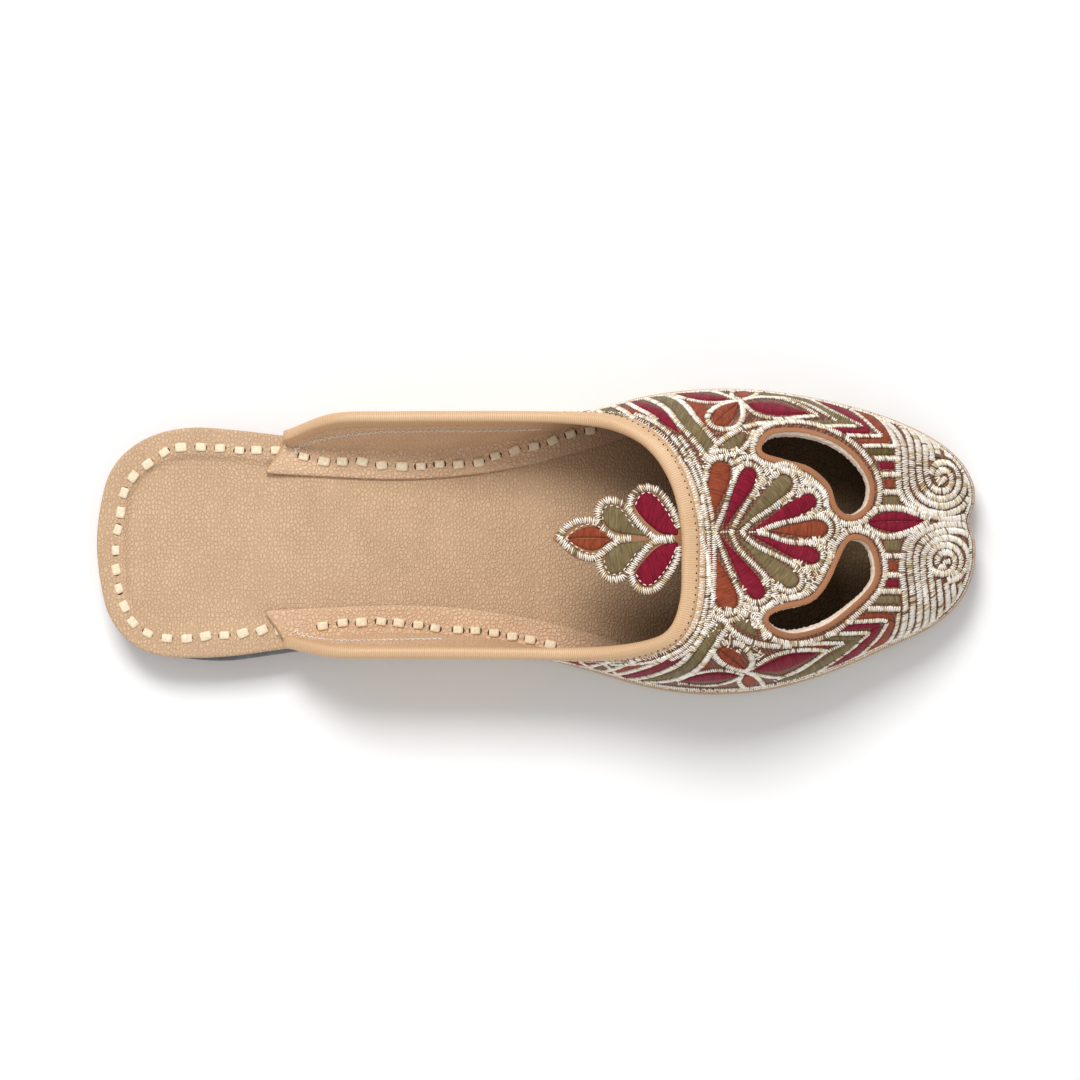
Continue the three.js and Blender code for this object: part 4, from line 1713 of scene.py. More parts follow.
@dataclass
class Fence:
    """A line just inside the silhouette that keeps chart shapes off the steep foot of the wall."""

    rows: Array
    angles: Array
    line: Array
    away: Array

    @staticmethod
    def around(margin: float = 0.75) -> "Fence":
        """Find the line on every rib of the cloth.

        Args:
            margin: Its distance from the silhouette on the chart.

        Returns:
            The fence.
        """
        rows = np.arange(CLOTH_ROWS[0], CLOTH_ROWS[1] + 0.01, 0.05)
        angles = np.linspace(0.2, QUARTER_TURN - 0.02, 220)
        found, held = [], []
        for row in rows:
            chart = CHART.drawn_on(FORM.face(np.full(len(angles), row), angles))
            reach = (chart - chart[0]) @ unit(chart[-1] - chart[0])
            widest = int(reach.argmax())
            at = int(np.searchsorted(np.maximum.accumulate(reach[:widest + 1]), reach[widest] - margin))
            found.append(chart[at])
            held.append(angles[at])
        line = np.array(found)
        run = unit(np.gradient(line, axis=0))
        return Fence(rows, np.array(held), line, np.stack([-run[:, 1], run[:, 0]], axis=1))

    def hold(self, chart: Array) -> Array:
        """Chart points with those outside the fence moved onto it.

        Args:
            chart: Chart points.

        Returns:
            The same points, none of them outside.
        """
        gaps = np.linalg.norm(chart[:, None, :] - self.line[None], axis=2)
        close = gaps.argmin(axis=1)
        beyond = ((chart - self.line[close]) * self.away[close]).sum(1)
        return chart - self.away[close] * np.maximum(0.0, beyond)[:, None]

    def heights(self, rows: Array) -> Array:
        """Length of each rib below the fence.

        Args:
            rows: Rows of the ribs.

        Returns:
            A length for each rib.
        """
        angles = np.interp(rows, self.rows, self.angles)
        shares = np.linspace(0, 1, 25)[:, None]
        net = FORM.face(np.broadcast_to(rows, (25, len(rows))), mix(angles, QUARTER_TURN, shares))
        return np.linalg.norm(np.diff(net, axis=0), axis=2).sum(0)

    def above_foot(self, row: float, rises: Array) -> Array:
        """Spots up a rib from its foot.

        Args:
            row: Row of the rib.
            rises: Distances from the foot.

        Returns:
            A row for each distance: the spot, then the outward direction there.
        """
        angles, points = FORM.rib(row)
        down = run_lengths(points)
        found = np.minimum(np.interp(down[-1] - rises, down, angles), QUARTER_TURN - 0.03)
        same = np.full(len(found), row)
        return np.column_stack([FORM.face(same, found), FORM.normal(same, found)])


@dataclass(frozen=True)
class Petal:
    """A petal on the chart, from its narrow base to its round tip."""

    silk: Silk
    base: tuple[float, float]
    tip: tuple[float, float]
    half: float
    lean: float = 3.1
    blunt: float = 0.34
    split: bool = False

    def sides(self, t: Array) -> tuple[Array, Array]:
        """Its middle line and its half width at shares of its length."""
        line = mix(np.array(self.base), np.array(self.tip), t[:, None])
        return line, self.half * np.sin(math.pi * np.clip(t**self.lean, 0, 1)).clip(0) ** self.blunt

    def outline(self, outset: float, start: float) -> Array:
        """A chart line round its head.

        Args:
            outset: Distance outside the petal.
            start: Share of its length at which the line begins and ends.

        Returns:
            The line, from the left side round the tip to the right side.
        """
        line, width = self.sides(1 - (1 - start) * np.linspace(1, 0, 40) ** 2)
        loop = resample(np.concatenate([beside(line, width), beside(line, -width)[::-1]]), 0.5)
        for _ in range(2):
            loop[1:-1] = (loop[:-2] + loop[1:-1] + loop[2:]) / 3
        return beside(loop, outset)


class Embroidery:
    """Silk fills and metal cords on a surface, collected and then made piece by piece."""

    across = 7
    groove = 0.04
    cord_proud = 0.32
    cord_section = ((0.5, -0.2), (0.36, 0.34), (0.0, 0.46), (-0.36, 0.34), (-0.5, -0.2))

    def __init__(self, name: str, surface: Surface, fence: Fence | None = None) -> None:
        """Start work on a surface.

        Args:
            name: Start of the names of its pieces.
            surface: What is embroidered.
            fence: What chart shapes are kept behind.
        """
        self.name, self.surface, self.fence = name, surface, fence
        self.fills: dict[Silk, list[MeshData]] = {}
        self.cords: dict[str, Lay] = {}
        self.cores: dict[str, list[MeshData]] = {}
        self.loose = Lay()
        self.guards: list[Array] = []

    def seen(self, chart: Array) -> Spots:
        """Spots and outward directions for chart points, kept behind the fence."""
        held = chart if self.fence is None else self.fence.hold(chart)
        return self.surface.seen(held)

    def guard(self, line: Array, radius: float) -> None:
        """Keep loose stitches off a chart line and its surroundings."""
        self.guards.append(np.column_stack([line, np.full(len(line), radius)]))

    def patch(self, silk: Silk, left: Array, right: Array, lift: float = 0.5) -> None:
        """Fill between two edges with flat stitches that run from one to the other.

        Args:
            silk: Colour.
            left: Chart points of one edge.
            right: The other edge, in the same order.
            lift: How high the middle stands over the cloth.
        """
        long = max(run_lengths(side)[-1] for side in (left, right))
        count = max(6, int(long / 0.7))
        at = np.linspace(0, 1, count)
        edges = []
        for side in (left, right):
            row = resample(side, long / count)
            spread = np.linspace(0, 1, len(row))
            edges.append(np.stack([np.interp(at, spread, row[:, k]) for k in range(2)], axis=1))
        chart = np.stack([mix(*edges, v) for v in np.linspace(0, 1, self.across)], axis=1)
        spots, ups = self.seen(chart.reshape(-1, 2))
        self.fill(silk, (spots, ups), at * long, np.linalg.norm(edges[1] - edges[0], axis=1), lift)

    def fill(self, silk: Silk, net: Spots, along: Array, width: Array, lift: float) -> None:
        """Turn a net of spots into a raised silk fill.

        Args:
            silk: Colour.
            net: Spots and outward directions, row by row along the fill.
            along: Distance along the fill at each row.
            width: Width of the fill at each row.
            lift: How high the middle stands.
        """
        spots, ups = net
        count, across = len(along), np.linspace(0, 1, self.across)
        hump = (1 - np.abs(2 * across - 1) ** 3) ** 0.6
        at, long = along / along[-1], along[-1]
        ends = np.minimum(1, np.minimum(at, 1 - at) * long / 0.8) ** 0.5
        height = lift * np.outer(ends, hump)
        height[height <= 0] = -0.08
        top = (spots + ups * height.reshape(-1, 1)).reshape(count, -1, 3)
        under = (spots - ups * 0.3).reshape(count, -1, 3)[:, [-1, 0]]
        loop = np.concatenate([top, under], axis=1)
        sides = loop.shape[1]
        v = np.outer(width, np.append(across, [1.0, 0.0]))
        uv = np.column_stack([np.repeat(along, sides), v.ravel()])
        data = MeshData(loop.reshape(-1, 3), tube_faces(count, sides), uv)
        self.fills.setdefault(silk, []).append(data)

    def between(self, silk: Silk, one: Line, other: Line, lift: float = 0.5) -> None:
        """Fill between two curves given by a few chart points each."""
        self.patch(silk, drawn(one), drawn(other), lift)

    def band(self, silk: Silk, corners: Line) -> None:
        """Fill a band of changing width, given by s, y and half width at a few places."""
        line = drawn(corners, 0.4, columns=3)
        self.patch(silk, beside(line, line[:, 2]), beside(line, -line[:, 2]))

    def petal(self, petal: Petal) -> None:
        """Fill a petal. A split one has a groove along its middle, in which the stitches meet.

        Args:
            petal: Its shape and colour.
        """
        line, width = petal.sides(np.linspace(0, 1, 60))
        inner = ((self.groove,), (-self.groove,)) if petal.split else ()
        edges = [width, *inner, -width]
        for left, right in zip(edges[::2], edges[1::2]):
            self.patch(petal.silk, beside(line, left), beside(line, right))

    def cord(self, zone: str, corners: Line | Array, width: float, closed: bool = False) -> None:
        """Lay a metal cord along chart points.

        Args:
            zone: Which piece it goes to.
            corners: A few points that it passes through.
            width: Its width.
            closed: Whether it ends where it began.
        """
        line = drawn(corners, STITCH_STEP, closed)
        self.guard(line[::2], width * 0.45)
        spots, ups = self.seen(line)
        if self.fence is not None:
            gaps = np.linalg.norm(np.diff(spots, axis=0), axis=1)
            apart = np.concatenate([[True], gaps > 0.05])
            spots, ups = spots[apart], ups[apart]
        self.cord_on(zone, respaced(spots, ups), width)

    def cord_on(self, zone: str, line: Spots, width: float) -> None:
        """Lay a metal cord through spots on the shoe: a dark core, and stitches across it.

        Args:
            zone: Which piece it goes to.
            line: The spots and the outward directions there.
            width: Its width.
        """
        spots, ups = line
        run = unit(np.gradient(spots, axis=0))
        left = unit(np.cross(ups, run)) * width * 0.86
        lay = self.cords.setdefault(zone, Lay())
        lay.add(spots + ups * self.cord_proud, ups, run, (0.54, width * 1.2, 0.9))
        rings = np.stack([spots + left * side + ups * rise for side, rise in self.cord_section], axis=1)
        faces = tube_faces(len(spots), len(self.cord_section))
        self.cores.setdefault(zone, []).append(MeshData(rings.reshape(-1, 3), faces))

    def scatter(self, outline: Line, gap: float, size: Triple, seed: int) -> None:
        """Fill an area with metal stitches in every direction.

        Args:
            outline: Chart outline of the area.
            gap: Mean distance between stitches.
            size: Length, width and height of a stitch.
            seed: Seed of the scatter.
        """
        edge = drawn(outline, 0.6, closed=True)
        low, high = edge.min(axis=0), edge.max(axis=0)
        rng = np.random.default_rng(seed)
        trial = rng.uniform(low, high, (int(np.prod(high - low) / gap**2), 2))
        inside = np.zeros(len(trial), bool)
        for (x0, y0), (x1, y1) in zip(edge, np.roll(edge, -1, axis=0)):
            crosses = (y0 > trial[:, 1]) != (y1 > trial[:, 1])
            at = x0 + (trial[:, 1] - y0) * (x1 - x0) / (y1 - y0 + 1e-12)
            inside ^= crosses & (trial[:, 0] < at)
        guards = np.concatenate(self.guards)
        free = [bool((np.hypot(*(guards[:, :2] - spot).T) > guards[:, 2]).all()) for spot in trial]
        spots, ups = self.seen(trial[inside & np.array(free)])
        turn = rng.uniform(0, math.pi, len(spots))
        along = np.column_stack([np.cos(turn), np.sin(turn), np.zeros(len(spots))])
        lift = rng.uniform(0.05, 0.3, (len(spots), 1))
        self.loose.add(spots + ups * lift, ups, along, size)

    def build(self, thread: Thread) -> None:
        """Make every piece of the work.

        Args:
            thread: Node trees and materials of the metal stitches.
        """
        for silk, parts in self.fills.items():
            name = f"{self.name}_{silk.value.name}"
            Piece(name, "silk_thread", MeshData.joined(parts), [silk.value.build()]).build()
        for number, (zone, lay) in enumerate(self.cords.items()):
            name = f"{self.name}_{zone}_cords"
            cord = Stitching(name, "metal_thread", thread.ribs, thread.metal, 40 + number, 0.2, slant=0.2)
            cord.build(lay, chained=True)
            Piece(name + "_core", "metal_thread", MeshData.joined(self.cores[zone]), [thread.core]).build()
        if self.loose.points:
            name = self.name + "_seed_stitches"
            Stitching(name, "metal_thread", thread.spots, thread.metal, 7, 0.3).build(self.loose)


# Fan of nine petals behind the throat, from the inner side round to the outer side.
FAN = (
    Petal(Silk.RUST, (176.7, 3.0), (181.6, 23.4), 3.2),
    Petal(Silk.CRIMSON, (181.4, 3.6), (190.0, 21.4), 2.75),
    Petal(Silk.OLIVE, (185.3, 3.5), (200.9, 18.9), 2.75),
    Petal(Silk.CRIMSON, (189.6, 3.1), (208.3, 12.9), 2.65),
    Petal(Silk.RUST, (194.6, 3.2), (211.7, 4.0), 2.65),
    Petal(Silk.CRIMSON, (189.4, 2.3), (209.3, -4.8), 2.65),
    Petal(Silk.OLIVE, (185.0, 1.8), (202.8, -12.3), 2.8),
    Petal(Silk.CRIMSON, (181.0, 1.5), (192.6, -16.1), 2.75),
    Petal(Silk.RUST, (176.2, 1.5), (183.7, -19.4), 3.4),
)
# Cords between the petals of the fan, from the middle out.
FAN_PARTINGS = (
    (179.2, 3.0, 180.0, 5.2, 181.8, 9.6, 183.5, 14.7, 185.6, 19.9, 186.4, 21.4),
    (183.9, 2.9, 185.6, 6.5, 188.0, 10.6, 190.3, 14.1, 192.4, 17.1, 193.8, 18.8),
    (186.9, 3.0, 188.6, 4.8, 191.0, 6.9, 194.1, 8.9, 197.5, 11.3, 200.3, 13.4, 201.6, 14.3),
    (191.6, 3.1, 195.1, 4.5, 198.9, 5.7, 202.7, 6.5, 206.1, 7.2, 207.4, 7.6),
    (191.6, 3.0, 195.1, 2.1, 198.9, 0.6, 202.7, -0.1, 206.1, 0.0, 207.2, 0.0),
    (186.9, 3.0, 189.0, 0.7, 191.7, -1.3, 195.1, -3.0, 198.6, -4.7, 201.3, -6.1, 202.6, -7.0),
    (183.9, 2.9, 185.6, -1.3, 188.0, -4.1, 190.7, -6.8, 193.1, -9.2, 194.7, -11.1),
    (179.2, 3.0, 180.8, -1.3, 182.5, -5.8, 183.9, -9.2, 185.6, -13.3, 186.6, -15.2),
    (175.2, 4.2, 175.6, 11.0, 176.1, 16.5, 177.0, 20.6),
    (175.2, 1.2, 177.0, -4.1, 177.6, -9.2, 178.0, -13.6, 178.9, -16.4),
)
# Blocks of the ladder between the openings and the toe: colour, back, front, high and low y.
LADDER_BLOCKS = (
    (Silk.OLIVE, 228.0, 233.0, 13.4, 10.6), (Silk.RUST, 228.9, 231.4, 18.2, 15.7),
    (Silk.CRIMSON, 227.0, 231.4, 23.4, 21.3), (Silk.BRONZE, 223.6, 231.2, 27.4, 25.3),
    (Silk.OLIVE, 228.4, 233.4, 0.9, -2.5), (Silk.RUST, 229.2, 232.2, -5.4, -8.4),
    (Silk.CRIMSON, 228.2, 232.6, -10.6, -13.0), (Silk.OLIVE, 224.9, 233.0, -15.5, -17.9),
)
# Petals that stand alone: the ladder's leaf, then two of each side flower.
SINGLE_PETALS = (
    Petal(Silk.CRIMSON, (223.3, 5.9), (240.4, 6.2), 3.1, 1.0, 0.75, True),
    Petal(Silk.RUST, (186.1, 40.6), (179.3, 34.6), 2.9, 1.7, 0.5, True),
    Petal(Silk.RUST, (187.4, 41.6), (188.0, 44.0), 2.3, 1.2, 0.4, False),
    Petal(Silk.RUST, (188.0, -36.6), (180.6, -31.2), 2.9, 1.7, 0.5, True),
    Petal(Silk.RUST, (188.4, -37.9), (190.0, -41.2), 2.4, 1.2, 0.4, False),
)
# Silk fills of the sides: colour, height of the middle, one edge, the other edge.
VAMP_FILLS = (
    (Silk.OLIVE, 0.5, (142.6, 39.8, 145.6, 39.7, 149, 39.1, 151.6, 37.6, 154.2, 35.9),
     (142.6, 39.2, 144.4, 38.3, 146, 37.4, 149, 36.5, 154.2, 35.9)),
    (Silk.RUST, 0.5, (143.6, 40.7, 146.4, 41, 150.8, 40.2, 156.4, 38.3, 160.1, 36.3),
     (143.6, 40.5, 149, 39.4, 152.7, 38, 156.2, 36.3, 160.1, 36.2)),
    (Silk.CRIMSON, 0.5, (147.9, 41.5, 152.7, 41.8, 157.9, 40.9, 162.7, 39.2, 166, 36.7, 169, 31.9),
     (147.9, 41.4, 152.7, 40.7, 157.1, 39.2, 160.8, 37.2, 164.2, 34.6, 168.8, 31.9)),
    (Silk.OLIVE, 0.5, (156.4, 42.4, 161.9, 42.8, 167.5, 41.8, 170.4, 39.6, 172.6, 36.7, 175.6, 33.3,
      179, 29),
     (156.4, 42.2, 161.6, 41.1, 165.3, 39.8, 167.8, 37, 170.4, 33.3, 174.1, 28.9, 177.3, 25.6)),
    (Silk.RUST, 0.12, (169, 41.2, 172.6, 38.1, 174.9, 35, 178.5, 31.6),
     (172, 41, 176.7, 40.7, 177.2, 37.5, 178.9, 32.2)),
    (Silk.CRIMSON, 0.5, (166.7, 43.2, 171.2, 43.6, 176.7, 43.2, 180.4, 42.5, 183, 41.5),
     (166.7, 43.1, 171.2, 41.9, 175.6, 41.2, 179.7, 41.1, 183, 41.4)),
    (Silk.OLIVE, 0.5, (180.8, 27.4, 183.4, 30.2, 188.6, 32.2),
     (180.8, 27, 184.4, 26.8, 187.4, 29, 188.6, 32)),
    (Silk.OLIVE, 0.5, (183.6, -21.6, 186.2, -25.2, 191.4, -27.6),
     (183.8, -21.4, 189, -22.4, 191.5, -27.2)),
    (Silk.CRIMSON, 0.5, (188.6, 40.4, 193, 41, 198, 40.6, 206.3, 37.6),
     (188.6, 40.2, 192.5, 37.8, 198, 36.9, 206.3, 37.4)),
    (Silk.CRIMSON, 0.5, (134.2, -35.9, 137.9, -34.9, 141.6, -34.3, 147.9, -33.9),
     (134.2, -36.2, 139.7, -36, 143.8, -35.1, 147.9, -34)),
    (Silk.OLIVE, 0.5, (137.9, -36.7, 143.4, -36.2, 148.2, -34.8, 151.6, -34, 156, -33.7),
     (137.9, -36.9, 145.3, -36.8, 150.1, -35.8, 154.2, -34.4, 156, -33.8)),
    (Silk.RUST, 0.5, (142, -37.6, 147.9, -37.4, 151.9, -36.1, 156, -34.2, 158.2, -33.5, 162.3, -33.2),
     (142, -37.9, 149, -37.9, 154.9, -36.8, 159.3, -35.3, 162.3, -33.3)),
    (Silk.CRIMSON, 0.5, (150.1, -38.8, 155.6, -37.5, 159.7, -36.1, 163.4, -33.8, 166.4, -32.5,
      171.2, -30.6),
     (150.1, -39.1, 157.1, -38.9, 161.9, -37.6, 166.4, -35.6, 169.4, -33.5, 171.2, -30.7)),
    (Silk.OLIVE, 0.5, (158, -39.6, 164.9, -38, 169.3, -36, 172.6, -32.7, 174.9, -29.4, 177.8, -25.4,
      180.4, -22.4),
     (158, -39.9, 167.5, -39.1, 173, -36.5, 176.7, -32.2, 179.7, -27.9, 181.6, -24.6)),
    (Silk.RUST, 0.12, (172.8, -38.2, 175.8, -35.2, 178.3, -32.6, 182, -27.5),
     (177, -37.2, 178.2, -35.6, 178, -33.6, 184, -28.6)),
    (Silk.CRIMSON, 0.5, (169.7, -39.7, 174.1, -38.3, 178.6, -37.6, 182.3, -37.7, 185.6, -38.4),
     (169.7, -40, 174.9, -40.3, 179.7, -40.1, 183, -39.4, 185.6, -38.6)),
    (Silk.CRIMSON, 0.5, (190.6, -36.8, 196, -34, 201, -32.2, 208.6, -31.8),
     (190.6, -37.1, 197, -37.6, 203, -35.6, 208.6, -32)),
    (Silk.RUST, 0.3, (204.6, -30.3, 208.6, -29.9, 212.6, -30.1),
     (204.6, -30.5, 208.6, -30.8, 212.6, -30.3)),
)
# Chevrons of the sides: colour, then s, y and half width at each place.
VAMP_BANDS = (
    (Silk.OLIVE, 191.6, 43.2, 0.7, 197, 43, 1, 204, 41.6, 1.2, 210.4, 38.9, 1.3, 216, 36.3, 1.3,
     219.4, 34.4, 0.7),
    (Silk.OLIVE, 219.4, 34.8, 0.5, 214.7, 34.7, 0.9, 209, 34.7, 0.7, 205, 34.9, 0.3),
    (Silk.CRIMSON, 203, 43.2, 0.6, 209.6, 40.9, 1.1, 214.5, 38.8, 1.2, 219, 36.3, 1.2, 222.6, 33.6, 1.2,
     224, 31.9, 0.8),
    (Silk.CRIMSON, 224.2, 32.2, 0.6, 218.6, 32.3, 0.9, 213.4, 32.9, 0.3),
    (Silk.RUST, 218.6, 38.8, 0.4, 222, 37.6, 1.1, 225.3, 35.6, 1.3, 227.8, 32.8, 1.3, 229.6, 29.3, 1.2),
    (Silk.RUST, 229.8, 29.2, 0.8, 225.1, 29.3, 0.95, 220.4, 29.5, 0.4),
    (Silk.OLIVE, 198, -40.4, 0.7, 204.7, -38, 1, 208.8, -35.7, 1.1, 213.2, -33, 1.1, 217.1, -30.2, 1.1,
     221.4, -27.3, 0.7),
    (Silk.OLIVE, 221.2, -27.5, 0.5, 215.6, -27.7, 0.8, 210.6, -27.6, 0.3),
    (Silk.CRIMSON, 206.5, -39.2, 0.5, 211.5, -36.6, 0.9, 217.7, -33, 1.1, 221.8, -29.8, 1.1,
     224.8, -26.4, 1.1, 226.6, -23.9, 0.8),
    (Silk.CRIMSON, 226.9, -23.9, 0.6, 220.3, -24.3, 0.95, 214.8, -24.8, 0.4),
    (Silk.RUST, 214.4, -36.2, 0.4, 218, -34.4, 0.9, 223, -31.8, 1.1, 226.6, -29.3, 1.1, 229, -26.4, 1.15,
     230.4, -22.4, 1.1),
    (Silk.RUST, 231, -21.6, 0.7, 225.5, -21.3, 0.9, 219.6, -21.9, 0.4),
)
